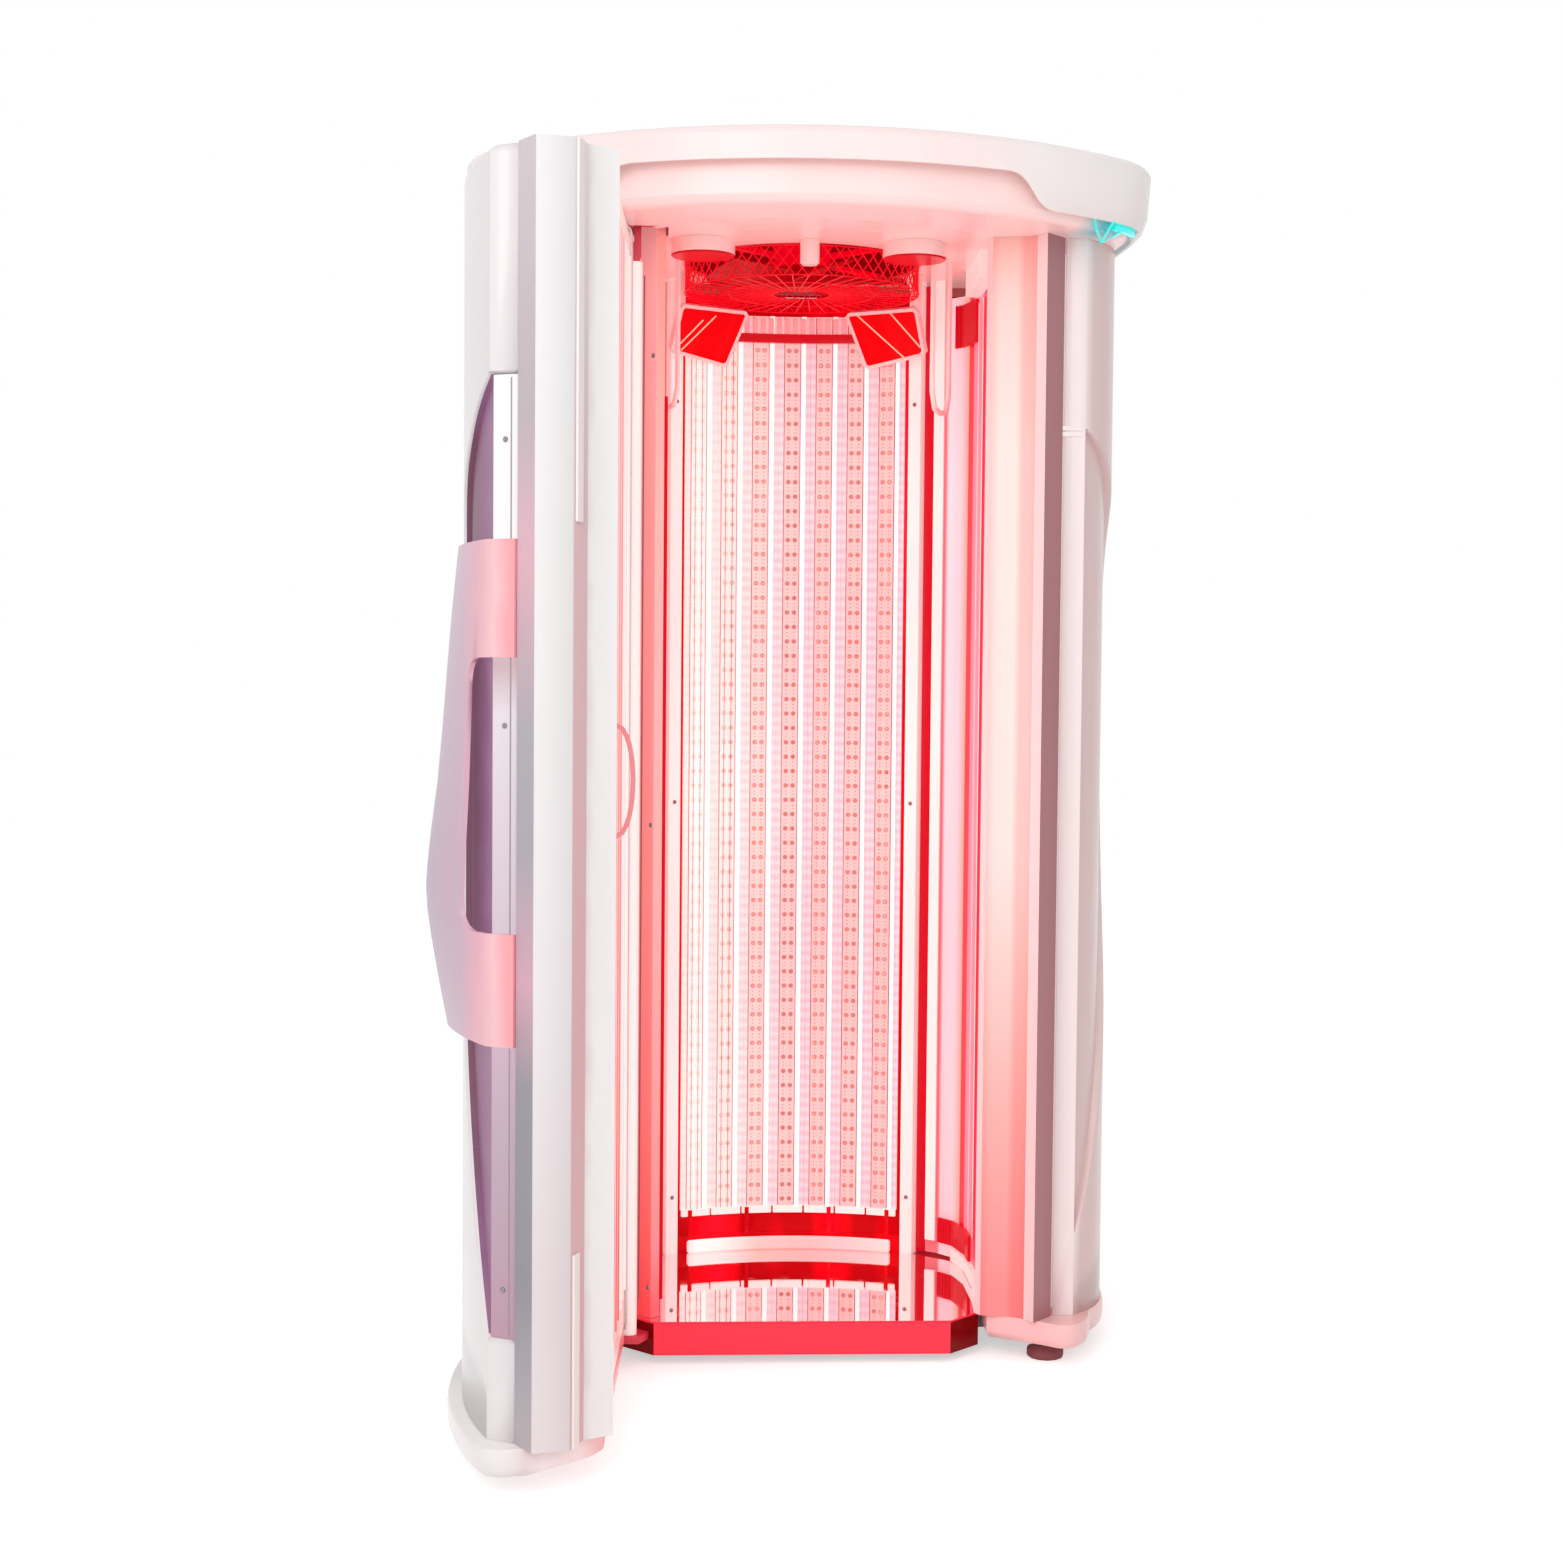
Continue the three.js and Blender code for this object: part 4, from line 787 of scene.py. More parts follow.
def places_on(path, lengths, distance):
    """Points at growing lengths along a path, moved to its left by a distance."""
    away = moved(path, distance)
    made, i, start = [], 0, 0.0
    for length in lengths:
        while i < len(path) - 2 and length > start + (path[i + 1] - path[i]).length:
            start += (path[i + 1] - path[i]).length
            i += 1
        share = min((length - start) / (path[i + 1] - path[i]).length, 1)
        made.append(away[i].lerp(away[i + 1], share))
    return made


def door_path():
    """Plan of the shut door's skin: lip and side at the hinge, front arc, closing flange."""
    left, right = HINGE[0] + DOOR_HINGE_EDGE, HINGE[0] + DOOR_WIDTH
    lip = Vector(HINGE) + Vector(DOOR_HINGE_LIP)
    across = [left + (right - left) * i / 60 for i in range(61)]
    front = [Vector((x, ARC_MIDDLE - math.sqrt(DOOR_RADIUS ** 2 - x ** 2))) for x in across]
    return [lip, Vector((left, lip.y)), *front, front[-1] + Vector(DOOR_FLANGE)]


def right_shell_path():
    """Plan of the right shell, from its rear seam round to the front corner and its short front lip."""
    path = []
    for i in range(41):
        angle = SEAM_ANGLE + (FRONT_ANGLE - SEAM_ANGLE) * i / 40
        wide, deep = (math.copysign(abs(v) ** (2 / SHELL_POWER), v)
                      for v in (math.cos(angle), math.sin(angle)))
        path.append(Vector((SHELL_HALF[0] * wide, SHELL_MIDDLE + SHELL_HALF[1] * deep)))
    return path + [Vector((FRONT_LIP, path[-1].y - 5))]


def scoop_rows():
    """Heights and widths of the scoop on a smooth curve through its few given points."""
    points = [Vector(pair) for pair in SCOOP]
    curve = []
    for i, (start, end) in enumerate(zip(points, points[1:])):
        before, after = points[max(i - 1, 0)], points[min(i + 2, len(points) - 1)]
        leave, arrive = start + (end - before) / 6, end - (after - start) / 6
        curve += interpolate_bezier(start, leave, arrive, end, 14)[:-1]
    return [(row.x, row.y) for row in curve[1:]]


def scooped_skin(node, path, inside, straight, margin, sunk_lip, crown, materials, carry):
    """A shell skin on its plan, with the scoop beside its last corner and a rolled rim round the scoop.
    inside is 1 where the path has the inside on its left, straight is how many straight steps come before
    its curve, margin is how far the scoop keeps from the corner, sunk_lip takes the lip beyond it down with
    the scoop, crown is how far the top rim leans in, and carry takes a place to where the skin stands."""
    low, high = (corner.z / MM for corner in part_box(node))
    stations = list(itertools.accumulate(((b - a).length for a, b in zip(path, path[1:])), initial=0.0))
    begin, corner, length = stations[straight], stations[-2], stations[-1]
    rim_start, rim_end = SCOOP_RIM[0][0], SCOOP_RIM[-1][0]
    lip_depth = SCOOP_DEPTH if sunk_lip else 0.0
    levels = [(low, 2, 0, 0), (SCOOP[0][0], 2, 0, 0)]
    levels += [(z, width, 1, 0) for z, width in scoop_rows()]
    levels += [(SCOOP[-1][0], 2, 0, 0)]
    for i in range(CROWN_STEPS + 1):
        share = i / CROWN_STEPS
        levels.append((high - CROWN_HEIGHT * (1 - share), 2, 0, crown * share ** 2))
    form = bmesh.new()
    grid = []
    for z, width, sunk, lean in levels:
        edge = corner - margin - width
        skin = [(station, 0.0) for station in stations[:straight]]
        skin += [(begin + (edge + rim_start - begin) * i / SKIN_COLUMNS, 0.0) for i in range(SKIN_COLUMNS)]
        roll = [(edge + along, depth * sunk) for along, depth in SCOOP_RIM]
        floor_width = corner - 0.4 - edge - rim_end
        floor = [(edge + rim_end + floor_width * i / FLOOR_COLUMNS, SCOOP_DEPTH * sunk)
                 for i in range(1, FLOOR_COLUMNS + 1)]
        columns = skin + roll + floor + [(corner, lip_depth * sunk), (length, lip_depth * sunk)]
        row = []
        for depth, group in itertools.groupby(columns, key=lambda column: column[1]):
            lengths = [column[0] for column in group]
            row += places_on(path, lengths, inside * (depth + lean))
        grid.append([form.verts.new(carry(point.x, point.y, z)) for point in row])
    first = straight + SKIN_COLUMNS
    sunken = range(first + 3, first + len(SCOOP_RIM) + FLOOR_COLUMNS - 1)
    for r in range(len(levels) - 1):
        for c in range(len(grid[0]) - 1):
            corners = [grid[r][c], grid[r][c + 1], grid[r + 1][c + 1], grid[r + 1][c]]
            face = form.faces.new(corners if inside > 0 else corners[::-1])
            face.smooth = True
            if levels[r][2] and levels[r + 1][2] and c in sunken:
                face.material_index = len(materials) - 1
    mesh = mesh_of(form, node + "_skin", materials)
    mesh.set_sharp_from_angle(angle=math.radians(38))
    wall = stand_for(node, mesh).modifiers.new("wall", "SOLIDIFY")
    wall.thickness = SHELL_WALL * MM
    wall.offset = -1


def revolved(points, count):
    """A small turned shape that faces -Y, from radius and height pairs in millimetres."""
    form = bmesh.new()
    turns = [i * 2 * math.pi / count for i in range(count)]
    rings = []
    for radius, height in points:
        rings.append([form.verts.new((radius * MM * math.cos(t), -height * MM, radius * MM * math.sin(t)))
                      for t in turns])
    for low, high in zip(rings, rings[1:]):
        for i in range(count):
            j = (i + 1) % count
            form.faces.new((low[i], low[j], high[j], high[i]))
    form.faces.new(rings[-1])
    bmesh.ops.recalc_face_normals(form, faces=form.faces)
    for face in form.faces:
        face.smooth = len(face.verts) == 4
    return bpy.data.objects.new("turned_shape", mesh_of(form, "turned_shape"))


def bar(width, height, depth, rounding):
    """A small upright bar with rounded edges that stands on its anchor and faces -Y."""
    form = bmesh.new()
    size = Matrix.Diagonal((width * MM, depth * MM, height * MM, 1))
    bmesh.ops.create_cube(form, size=1, matrix=Matrix.Translation((0, 0, height * MM / 2)) @ size)
    bmesh.ops.bevel(form, geom=form.edges, offset=rounding * MM, segments=2, profile=0.5, affect="EDGES")
    return bpy.data.objects.new("bar_shape", mesh_of(form, "bar_shape"))


def node_group(name, sockets):
    """A geometry node tree and the values given to it, from the name and the kind of each input."""
    tree = bpy.data.node_groups.new(name, "GeometryNodeTree")
    tree.interface.new_socket("Geometry", in_out="OUTPUT", socket_type="NodeSocketGeometry")
    for label, kind in sockets.items():
        tree.interface.new_socket(label, in_out="INPUT", socket_type="NodeSocket" + kind)
    return tree, add(tree, "NodeGroupInput").outputs


def end_group(tree, geometry, material):
    """Ends a geometry node tree: its copies become one plain mesh in one material."""
    solid = add(tree, "GeometryNodeRealizeInstances", {"Geometry": geometry})
    painted = add(tree, "GeometryNodeSetMaterial", {"Geometry": solid, "Material": material})
    add(tree, "NodeGroupOutput", {"Geometry": painted})


def rows_tree():
    """Stands a column of one shape on every anchor point and turns each to its anchor's facing."""
    tree, given = node_group("rows_on_surface", {
        "Geometry": "Geometry", "Shape": "Object", "Count": "Int", "Spacing": "Float",
        "Material": "Material"})
    step = add(tree, "ShaderNodeCombineXYZ", {"Z": given["Spacing"]})
    line = add(tree, "GeometryNodeMeshLine", {"Count": given["Count"], "Offset": step})
    columns = add(tree, "GeometryNodeInstanceOnPoints", {"Points": given["Geometry"], "Instance": line})
    points = add(tree, "GeometryNodeRealizeInstances", {"Geometry": columns})
    shape = add(tree, "GeometryNodeObjectInfo", {"Object": given["Shape"], "As Instance": True})
    facing = add(tree, "GeometryNodeInputNamedAttribute", {"Name": "facing"}, data_type="FLOAT_VECTOR")
    placed = add(tree, "GeometryNodeInstanceOnPoints", {
        "Points": points, "Instance": shape.outputs["Geometry"], "Rotation": facing})
    end_group(tree, placed, given["Material"])
    return tree


def cage_tree():
    """Wire drum: leaning wires round the side both ways, swept spokes below, and the rings on them."""
    tree, given = node_group("wire_cage", {
        "Geometry": "Geometry", "Radius": "Float", "Height": "Float", "Hub": "Float", "Lean": "Float",
        "Wire": "Float", "Wires": "Int", "Spokes": "Int", "Material": "Material"})
    index = add(tree, "GeometryNodeInputIndex")
    parts = add(tree, "GeometryNodeJoinGeometry")

    def spread(count, radius, start, end):
        share = add(tree, "ShaderNodeMath", {0: index, 1: count}, operation="DIVIDE")
        turn = add(tree, "ShaderNodeMath", {0: share, 1: 2 * math.pi}, operation="MULTIPLY")
        facing = add(tree, "ShaderNodeCombineXYZ", {"Z": turn})
        circle = add(tree, "GeometryNodeMeshCircle", {"Vertices": count, "Radius": radius})
        line = add(tree, "GeometryNodeCurvePrimitiveLine", {"Start": start, "End": end})
        placed = add(tree, "GeometryNodeInstanceOnPoints", {
            "Points": circle, "Instance": line, "Rotation": facing})
        lines = add(tree, "GeometryNodeRealizeInstances", {"Geometry": placed})
        fill(tree, parts, {"Geometry": lines})

    back = add(tree, "ShaderNodeMath", {0: given["Lean"], 1: -1.0}, operation="MULTIPLY")
    for first, last in ((back, given["Lean"]), (given["Lean"], back)):
        spread(given["Wires"], given["Radius"],
               add(tree, "ShaderNodeCombineXYZ", {"Y": first}),
               add(tree, "ShaderNodeCombineXYZ", {"Y": last, "Z": given["Height"]}))
    reach = add(tree, "ShaderNodeMath", {0: given["Radius"], 1: given["Hub"]}, operation="SUBTRACT")
    sweep = add(tree, "ShaderNodeMath", {0: given["Lean"], 1: 1.6}, operation="MULTIPLY")
    spread(given["Spokes"], given["Hub"],
           add(tree, "ShaderNodeCombineXYZ"),
           add(tree, "ShaderNodeCombineXYZ", {"X": reach, "Y": sweep}))
    for share in (0.0, 0.5, 1.0):
        radius = add(tree, "ShaderNodeMath", {
            0: reach, 1: share, 2: given["Hub"]}, operation="MULTIPLY_ADD")
        hoop = add(tree, "GeometryNodeCurvePrimitiveCircle", {"Resolution": 64, "Radius": radius})
        fill(tree, parts, {"Geometry": hoop})
    rim = add(tree, "GeometryNodeCurvePrimitiveCircle", {"Resolution": 64, "Radius": given["Radius"]})
    lift = add(tree, "ShaderNodeCombineXYZ", {"Z": given["Height"]})
    top = add(tree, "GeometryNodeTransform", {"Geometry": rim, "Translation": lift})
    fill(tree, parts, {"Geometry": top})
    half = add(tree, "ShaderNodeMath", {0: given["Wire"], 1: 0.5}, operation="MULTIPLY")
    section = add(tree, "GeometryNodeCurvePrimitiveCircle", {"Resolution": 6, "Radius": half})
    wires = add(tree, "GeometryNodeCurveToMesh", {
        "Curve": parts, "Profile Curve": section, "Fill Caps": True})
    end_group(tree, wires, given["Material"])
    return tree


ROWS = rows_tree()
CAGE = cage_tree()


def grown(name, tree, anchors, body, inputs):
    """Runs a node tree on anchors, each a place and a turn, and keeps its result as a plain mesh."""
    seed = bpy.data.meshes.new(name + "_anchors")
    seed.from_pydata([place for place, turn in anchors], [], [])
    facing = seed.attributes.new("facing", "FLOAT_VECTOR", "POINT")
    for item, (place, turn) in zip(facing.data, anchors):
        item.vector = (0, 0, turn)
    piece = bpy.data.objects.new(name, seed)
    scene.collection.objects.link(piece)
    rule = piece.modifiers.new("rule", "NODES")
    rule.node_group = tree
    for socket in tree.interface.items_tree:
        if socket.in_out == "INPUT" and socket.name in inputs:
            rule[socket.identifier] = inputs[socket.name]
    seen = piece.evaluated_get(bpy.context.evaluated_depsgraph_get())
    mesh = bpy.data.meshes.new_from_object(seen)
    piece.modifiers.remove(rule)
    piece.data = mesh
    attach(piece, body)
    return piece


def rows(name, shape, anchors, material, count=1, spacing=1.0, body="cabin"):
    """Columns of a small shape, which is dropped once it is copied."""
    grown(name, ROWS, anchors, body, {
        "Shape": shape, "Count": count, "Spacing": spacing * MM, "Material": material})
    bpy.data.objects.remove(shape)


def light_lines(name, material, lines, width):
    """Thin strips, each from a start to an end and standing off along a direction, for lit lines and
    painted reflections.
    """
    form = bmesh.new()
    for start, end, out in lines:
        along = end - start
        across = along.cross(out).normalized()
        shape = Matrix((along, across * width * MM, out * 1.2 * MM)).transposed().to_4x4()
        bmesh.ops.create_cube(form, size=1, matrix=Matrix.Translation((start + end) / 2) @ shape)
    bmesh.ops.recalc_face_normals(form, faces=form.faces)
    piece = bpy.data.objects.new(name, mesh_of(form, name, [material]))
    scene.collection.objects.link(piece)
    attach(piece, "cabin")


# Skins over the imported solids
dress("door_top_cap", "gloss_white", [GLOSS_WHITE])
dress("door_plinth", "gloss_white", [DOOR_PLINTH])
dress("left_side_shell", "gloss_white", [SHELL_SIDE])
dress("back_cover", "gloss_white", [SHELL_WHITE])
dress_pair("plinth", "gloss_white", [PLINTH_WHITE])
dress("ceiling_tray", "gloss_white", [CEILING_WHITE, RED_SHEET], tray_face)
dress("ceiling_nozzle", "gloss_white", [LIT_WHITE])
dress("canopy_lid", "gloss_white", [CANOPY_WHITE, TEAL_INSIDE, RED_SHEET], canopy_face)
scooped_skin("door_shell", door_path(), inside=1, straight=2, margin=0, sunk_lip=True, crown=12,
             materials=[GLOSS_WHITE, MAUVE_PANEL], carry=from_shut)
scooped_skin("right_side_shell", right_shell_path(), inside=-1, straight=0, margin=4, sunk_lip=False,
             crown=0, materials=[SHELL_SIDE], carry=lambda x, y, z: Vector((x, y, z)) * MM)
dress("left_front_post", "white_aluminium", [RED_LIT_POST, PINK_LIT_POST], front_post_face, rounding=1.5)
dress_pair("trim_post", "white_aluminium", [COATED_POST], rounding=1.5)
dress("heel_rail", "white_aluminium", [HEEL_PAINTED_LIGHT], rounding=1.5)
dress_pair("face_lamp_frame", "satin_white", [SATIN_WHITE], rounding=1.0)
for node in ("door_seal_upper", "door_seal_lower"):
    dress(node, "satin_white", [SATIN_WHITE], rounding=1.0)
dress_pair("hand_grip", "white_steel", [WHITE_STEEL], smooth=50)
dress("hinge_tube", "white_steel", [COATED_POST], smooth=50)
dress("door_pull", "white_steel", [PINK_LIT_PULL], smooth=50)
dress("hinge_bracket_top", "white_steel", [RED_STEEL], rounding=0.6)
dress("right_nose_profile", "satin_aluminium", [ANODISED, RIGHT_FACET_REFLECTION, FLANGE_COAT], right_nose_face)
dress("door_nose_profile", "satin_aluminium", [NOSE_FRONT, ANODISED_SHADE, CHANNEL_WALL_SHADE, CHANNEL_COAT],
      door_nose_face)
dress("door_edge_strip", "satin_aluminium", [EDGE_STRIP], rounding=1.0)
for number in range(1, LAMP_COUNT + 1):
    dress(f"back_lamp_{number}", "lamp_board", [JOINT_STRIP, BRIGHT_STRIP], back_lamp_face)
dress_pair("lamp_panel", "lamp_board", [SIDE_BOARD, PALE_STRIP, COATED_POST], side_lamp_face)
dress("door_lamp_panel", "lamp_board", [DIODE_SHEET, BRIGHT_STRIP, RED_LIT_POST, COATED_POST],
      door_lamp_face)
dress("lamp_top_rail", "red_lens", [RED_LENS])
dress_pair("ceiling_light", "red_lens", [LIT_WHITE, RED_LENS], ceiling_light_face)
dress_pair("face_lamp_lens", "red_lens", [FACE_LENS])
dress_pair("accent_lens", "cyan_lens", [CYAN_LENS])
handle = dress("door_handle", "rose_plastic", [ROSE_HANDLE], smooth=50)
handle.visible_shadow = False
handle.visible_diffuse = False
dress("fan_impeller", "rose_plastic", [FAN_PLASTIC])
dress("base_skirt", "red_acrylic", [RED_ACRYLIC, RED_ACRYLIC_SHADE], skirt_face, rounding=0.6)
dress("floor_plate", "mirror_floor", [MIRROR, RED_ACRYLIC], floor_face)
dress("base_chassis", "painted_steel", [GREY_STEEL, RED_SHEET, RED_STEEL], chassis_face)
dress("fan_motor", "painted_steel", [FAN_HOUSING])
dress("back_reflector", "reflector_sheet", [REFLECTOR])
dress("power_supply", "reflector_sheet", [BRIGHT_SHEET], rounding=1.0)
for node in ("foot_centre", "foot_rear_right", "foot_rear_left", "mains_gland"):
    dress(node, "black_rubber", [RUBBER])
for node in ("foot_front_right", "foot_front_left"):
    dress(node, "black_rubber", [LIT_RUBBER])

# Diodes: a tape up each back board, with a rim every 30 mm in two columns and two dots between rims
boards = range(LAMP_COUNT)
tapes = [on_board(board, TAPE_MIDDLE, TAPE_OFF, TAPE_FOOT) for board in boards]
rows("diode_tapes", bar(TAPE_WIDTH, TAPE_LENGTH, 1.6, 0.3), tapes, DIODE_SHEET)
leds = [on_board(board, across, LED_OFF, LED_START) for board in boards for across in LED_COLUMNS]
rows("diode_rims", revolved(RIM_SHAPE, 12), leds, DIODE_RIM, LED_ROWS, LED_SPACING)
dots = [(place + Vector((0, 0, share * LED_SPACING * MM)), turn)
        for place, turn in leds for share in (0.38, 0.62)]
rows("diode_dots", revolved(DOT_SHAPE, 6), dots, DIODE_RIM, LED_ROWS - 1, LED_SPACING)
# The door's board has two columns of the same diodes between each pair of ribs
door_leds = []
for rib, side in itertools.product(range(DOOR_RIBS - 1), (-1, 1)):
    middle = DOOR_RIB_START + (rib + 0.5) * DOOR_RIB_PITCH + DOOR_RIB_WIDTH / 2
    place = from_shut(middle + side * DOOR_LED_OFFSET, DOOR_BOARD, LED_START)
    door_leds.append((place, math.pi - DOOR_OPEN))
rows("door_diode_rims", revolved(RIM_SHAPE, 12), door_leds, DIODE_RIM, LED_ROWS,
     LED_SPACING, "door")
# Seams beside the tapes, and along the diode columns of the two boards where the tape is washed out
beside = [TAPE_MIDDLE + side * (TAPE_WIDTH / 2 + 0.9) for side in (-1, 1)]
seams = [on_board(board, across, SEAM_OFF, TAPE_FOOT) for board in boards for across in beside]
seams += [on_board(board, across, COLUMN_SEAM_OFF, TAPE_FOOT) for board in (0, 1) for across in LED_COLUMNS]
rows("board_seams", bar(1.6, TAPE_LENGTH, 1.2, 0.3), seams, SEAM_AND_SHADE_LINE)
caps = [on_board(board, LAMP_PITCH / 2, CAP_OFF, LAMP_BOTTOM - CAP_DROP) for board in boards]
rows("lamp_foot_caps", bar(62, 16, 8, 1.5), caps, PALE_STRIP)

# Red strips of painted light in the corners between the trim posts and the side panels, and on the front
# post
corners = [spot(side * CORNER_STRIP[0], *CORNER_STRIP[1:]) for side in (1, -1)]
rows("corner_diffusers", bar(21, 2000, 4, 1.0), corners, RED_LIGHT_STRIP)
rows("post_diffuser", bar(8.5, 1680, 1.6, 0.4), [spot(*FRONT_POST_STRIP, FRONT_POST_TURN)],
     RED_LIGHT_STRIP)
# Painted shadow line at the outer edge of the front post, and a backing behind the joint of nose profile
# and shell
rows("post_seam", bar(3, 1900, 1.6, 0.4), [spot(*FRONT_POST_SHADOW_LINE, -FRONT_POST_TURN)],
     SEAM_AND_SHADE_LINE)
rows("nose_backing", bar(9, 1960, 1.6, 0.4), [spot(*NOSE_JOINT)], SATIN_WHITE)

# Screws with domed heads in the posts and in the edge strip of the door, the strip's fold, the catch plates
screws = [on_wall(side * POST_ANGLE, POST_FACE, z) for side in (1, -1) for z in POST_SCREWS]
screws += [spot(*FRONT_POST_FACE, z, -FRONT_POST_TURN) for z in FRONT_POST_SCREWS]
rows("post_screws", revolved(SCREW_HEAD, 12), screws, SCREW_STEEL)
strip_turn = STRIP_TURN - DOOR_OPEN
screws = [(from_shut(*STRIP_PLACE, z), strip_turn) for z in STRIP_SCREWS]
rows("strip_screws", revolved(SCREW_HEAD, 12), screws, SCREW_STEEL, body="door")
fold = Vector(STRIP_PLACE) + Vector(DOOR_FLANGE).normalized() * FOLD_OFFSET
fold_foot = from_shut(*fold, SCOOP[0][0] + FOLD_MARGIN), strip_turn
fold_shape = bar(2.4, SCOOP[-1][0] - SCOOP[0][0] - 2 * FOLD_MARGIN, 1.2, 0.3)
rows("strip_fold", fold_shape, [fold_foot], FOLD_SHADE, body="door")
catches = [spot(*CATCH_PLACE, z, CATCH_TURN) for z in CATCH_HEIGHTS]
rows("catch_plates", bar(38, 9, 5, 1.2), catches, WHITE_STEEL)

# Lamp ends: a comb of pegs on the top rail, and red ribs at the head and the foot of each side panel
turns = [(i - (COMB_COUNT - 1) / 2) * COMB_PITCH / WALL_RADIUS for i in range(COMB_COUNT)]
comb = [on_wall(turn, WALL_RADIUS - COMB_OFF, COMB_FOOT) for turn in turns]
rows("lamp_end_comb", bar(11, 33, 9, 3.5), comb, PEG_PLASTIC)
for name, shape, (start, count), z in (("side_lamp_ends", bar(5.5, 86, 7, 1.5), HEAD_RIBS, HEAD_RIB_FOOT),
                                       ("side_lamp_feet", bar(9, 52, 7, 1.5), FOOT_RIBS, HEEL_TOP + 4)):
    ribs = [on_side(side, start + i * END_RIB_PITCH, END_RIB_OFF, z)
            for side in (1, -1) for i in range(count)]
    rows(name, shape, ribs, RED_LIGHT_STRIP)

# Vent slots in the ceiling, in two rows round the fan
slots = []
for radius, turns in VENT_ROWS.items():
    for turn in map(math.radians, turns):
        x, y = FAN_CENTRE[0] + radius * math.sin(turn), FAN_CENTRE[1] - radius * math.cos(turn)
        slots.append(spot(x, y, CEILING - 0.8, turn))
rows("ceiling_slots", bar(46, 1.6, 15, 0.7), slots, PINK_CAST_WHITE)

# Painted tube reflections as pale lines on the face lamp lenses, and the lit V under each end of the canopy
lens_lines = [(on_lens(side, *start), on_lens(side, *end), Vector((side * LENS_AXIS.x, *LENS_AXIS.yz)))
              for side, lines in LENS_LINES.items() for start, end in lines]
light_lines("face_lamp_lines", TUBE_REFLECTION, lens_lines, 2.8)
accent_lines = []
for side in (1, -1):
    for bend, end in ACCENT_LINES:
        tip, rim, peak = (Vector((side * x, y, z)) * MM for x, y, z in (
            (*ACCENT_TIP, CEILING - 0.6), (*bend, CEILING - 0.6), (*end, CEILING + 13)))
        accent_lines += [(tip, rim, Vector((0, 0, 1))), (rim, peak, Vector((0, 0, 1)))]
light_lines("accent_lines", CYAN_LENS, accent_lines, 5)

# Fan guard
guard_place = spot(*FAN_CENTRE, GUARD_BOTTOM)
guard = grown("fan_guard_wires", CAGE, [guard_place], "cabin", {
    "Radius": GUARD_RADIUS * MM, "Height": GUARD_HEIGHT * MM, "Hub": GUARD_HUB * MM,
    "Lean": GUARD_LEAN * MM, "Wire": GUARD_WIRE_SIZE * MM, "Wires": GUARD_WIRES,
    "Spokes": GUARD_SPOKES, "Material": GUARD_WIRE})
guard.data.transform(Matrix.Translation(guard_place[0]))
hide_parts("fan_guard")


def make_camera():
    yaw, pitch, roll = (math.radians(angle) for angle in CAMERA_TURN)
    ahead = Vector((math.sin(yaw) * math.cos(pitch), math.cos(yaw) * math.cos(pitch), -math.sin(pitch)))
    level = Vector((math.cos(yaw), -math.sin(yaw), 0))
    upright = level.cross(ahead)
    right = level * math.cos(roll) + upright * math.sin(roll)
    up = upright * math.cos(roll) - level * math.sin(roll)
    camera = bpy.data.objects.new("camera", bpy.data.cameras.new("camera"))
    camera.data.lens = CAMERA_LENS
    turn = Matrix((right, up, -ahead)).transposed().to_4x4()
    camera.matrix_world = Matrix.Translation(Vector(CAMERA_PLACE) * MM) @ turn
    scene.collection.objects.link(camera)
    scene.camera = camera


def lamp(name, kind, place, aim, power, size, code):
    """A studio lamp or a glow of the booth's own diodes, unseen by the camera."""
    light = bpy.data.lights.new(name, kind)
    light.energy = power
    light.color = linear(code)[:3]
    if kind == "AREA":
        light.size = size
    else:
        light.shadow_soft_size = size
    made = bpy.data.objects.new(name, light)
    made.location = place
    made.rotation_euler = (Vector(aim) - Vector(place)).to_track_quat("-Z", "Y").to_euler()
    made.visible_camera = False
    made.visible_glossy = kind == "AREA"
    scene.collection.objects.link(made)
    return made


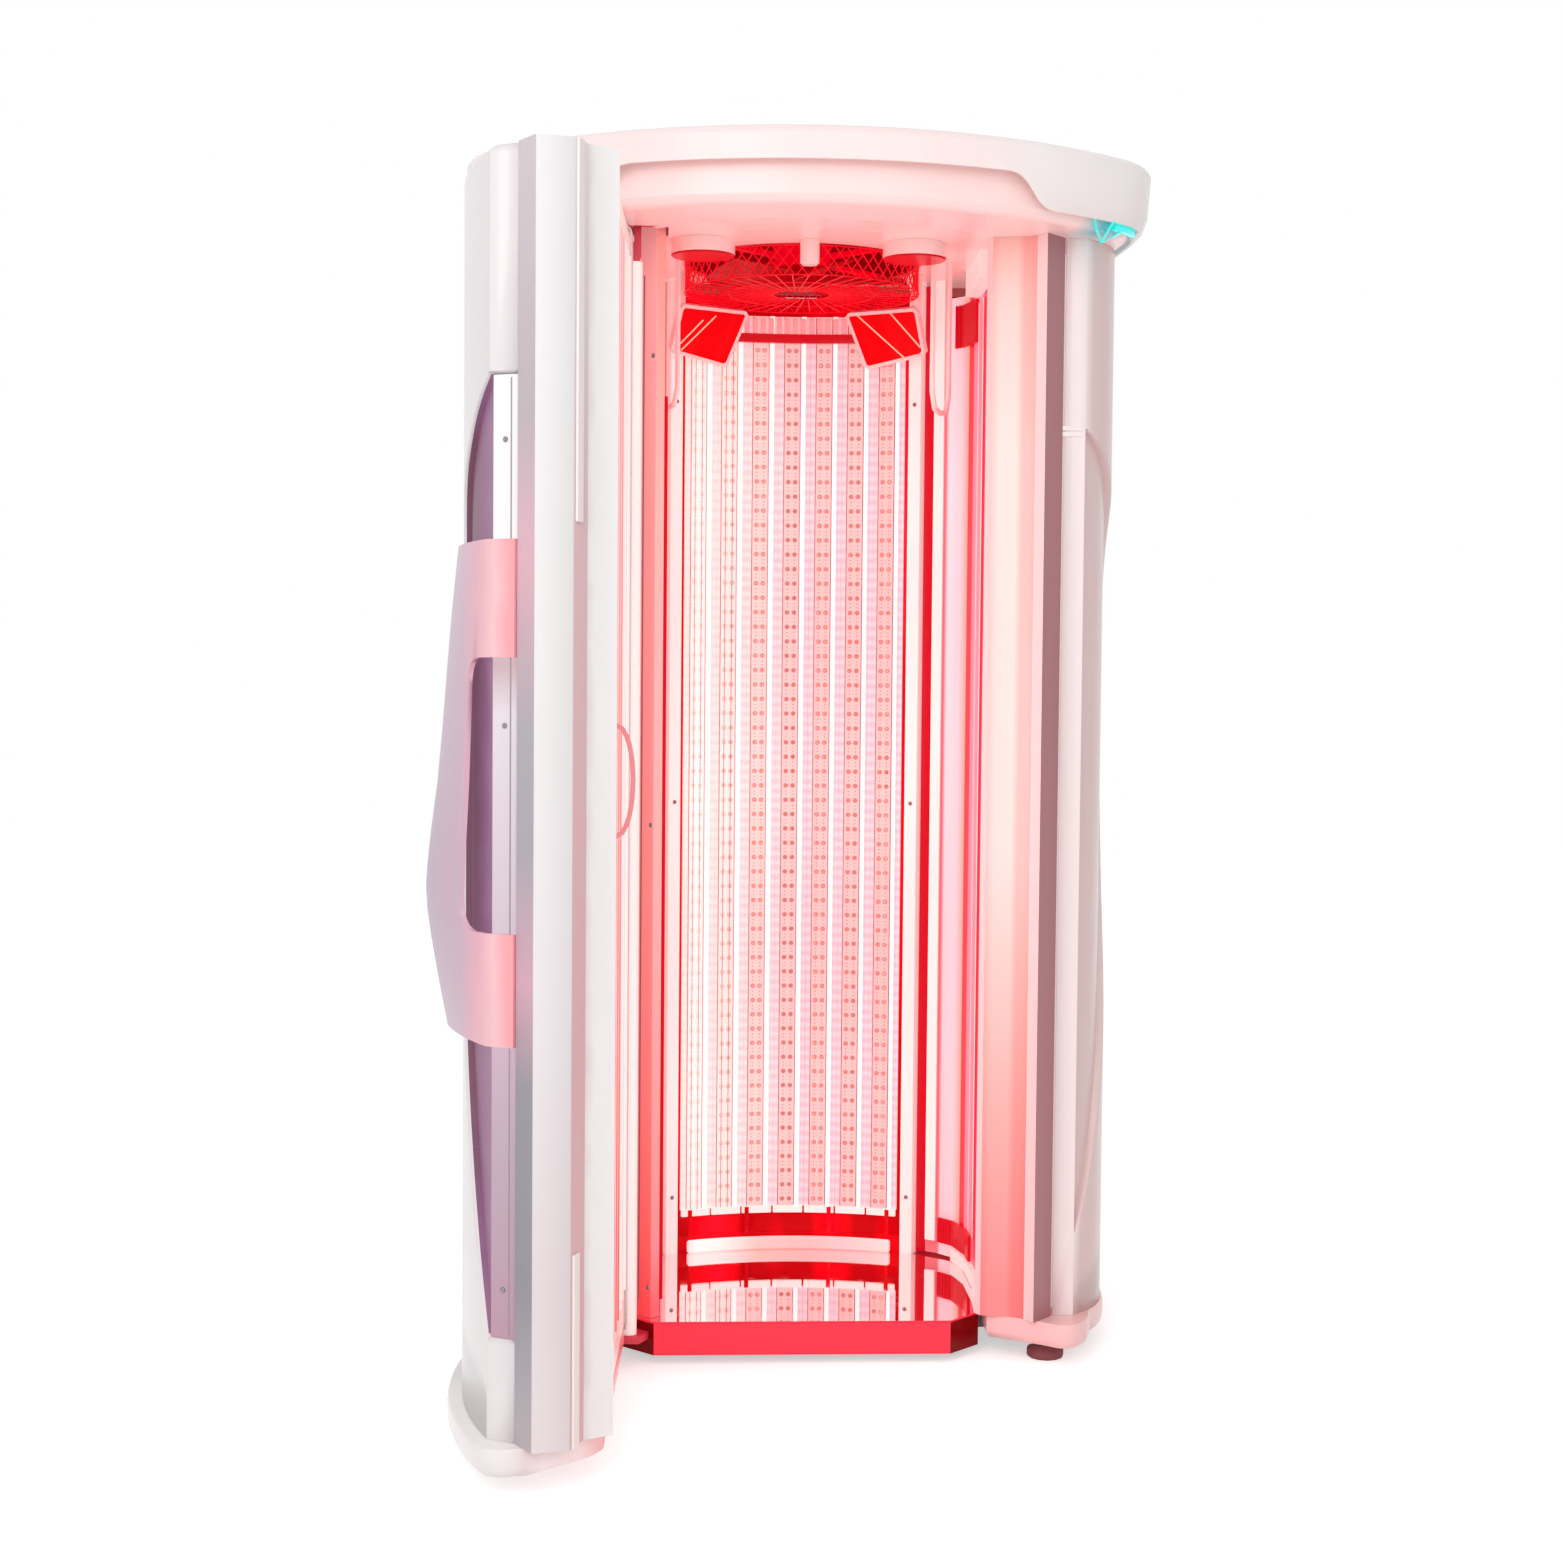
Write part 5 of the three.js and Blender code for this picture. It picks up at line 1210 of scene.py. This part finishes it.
def make_floor():
    """Pale floor that reads as white paper and keeps the soft shadow of the booth."""
    mesh = bpy.data.meshes.new("studio_floor")
    mesh.from_pydata([(-12, -12, 0), (12, -12, 0), (12, 12, 0), (-12, 12, 0)], [], [(0, 1, 2, 3)])
    floor = bpy.data.objects.new("studio_floor", mesh)
    scene.collection.objects.link(floor)
    material = bpy.data.materials.new("white_paper")
    material.use_nodes = True
    tree = material.node_tree
    tree.nodes.remove(tree.nodes["Principled BSDF"])
    paper = add(tree, "ShaderNodeBsdfDiffuse", {"Color": linear("#F2F2F2")})
    path = add(tree, "ShaderNodeLightPath")
    seen = add(tree, "ShaderNodeMath", {
        0: path.outputs["Is Camera Ray"], 1: path.outputs["Is Glossy Ray"]}, operation="MAXIMUM")
    lift = add(tree, "ShaderNodeMath", {0: seen, 1: FLOOR_LIFT}, operation="MULTIPLY")
    white = add(tree, "ShaderNodeEmission", {"Strength": lift})
    both = add(tree, "ShaderNodeAddShader", {0: paper, 1: white})
    fill(tree, tree.nodes["Material Output"], {"Surface": both})
    mesh.materials.append(material)


def make_world():
    world = bpy.data.worlds.new("studio")
    world.use_nodes = True
    scene.world = world
    tree = world.node_tree
    tree.nodes.clear()
    path = add(tree, "ShaderNodeLightPath")
    seen = add(tree, "ShaderNodeMath", {
        0: path.outputs["Is Camera Ray"], 1: path.outputs["Is Glossy Ray"]}, operation="MAXIMUM")
    clear = add(tree, "ShaderNodeMath", {
        0: seen, 1: path.outputs["Is Transmission Ray"]}, operation="MAXIMUM")
    toward = add(tree, "ShaderNodeTexCoord").outputs["Generated"]
    away = add(tree, "ShaderNodeVectorMath", {0: toward, 1: SKY_DIMMER}, operation="DOT_PRODUCT")
    front = add(tree, "ShaderNodeMapRange", {
        "Value": away, "From Min": -1.0, "From Max": 0.6, "To Min": 1.0, "To Max": SKY_FAR})
    strength = add(tree, "ShaderNodeMapRange", {
        "Value": clear, "To Min": front, "To Max": 1.0})
    sky = add(tree, "ShaderNodeBackground", {
        "Color": linear("#FFFFFF"), "Strength": strength})
    add(tree, "ShaderNodeOutputWorld", {"Surface": sky})


make_camera()
make_floor()
make_world()
lamp("key_softbox", "AREA", (-1.5, -4.5, 3.2), (0, -0.3, 1.1), 50, 2.4, "#FFFFFF")
lamp("fill_softbox", "AREA", (1.2, -4.6, 2.0), (0.2, -0.2, 1.1), 18, 2.4, "#FFFFFF")
for height in (0.35, 1.05, 1.75):
    lamp(f"diode_glow_{height:.2f}", "POINT", (0, -0.02, height), (0, 0, 0), 1.2, 0.1, "#FFC4BE")
lamp("fan_glow", "POINT", (0, 0.057, 2.13), (0, 0, 0), 2.0, 0.05, "#FF0408")
for side in (1, -1):
    lamp(f"accent_glow_{side}", "POINT", (side * 0.545, -0.33, 2.07), (0, 0, 0), 0.004, 0.01, "#30C8E0")
door_glow = lamp("door_glow", "AREA", (-0.27, -0.6, 1.1), (1, -0.6, 1.1), 2.0, 0.5, "#FF9C98")
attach(door_glow, "door")

scene.view_settings.view_transform = "Standard"
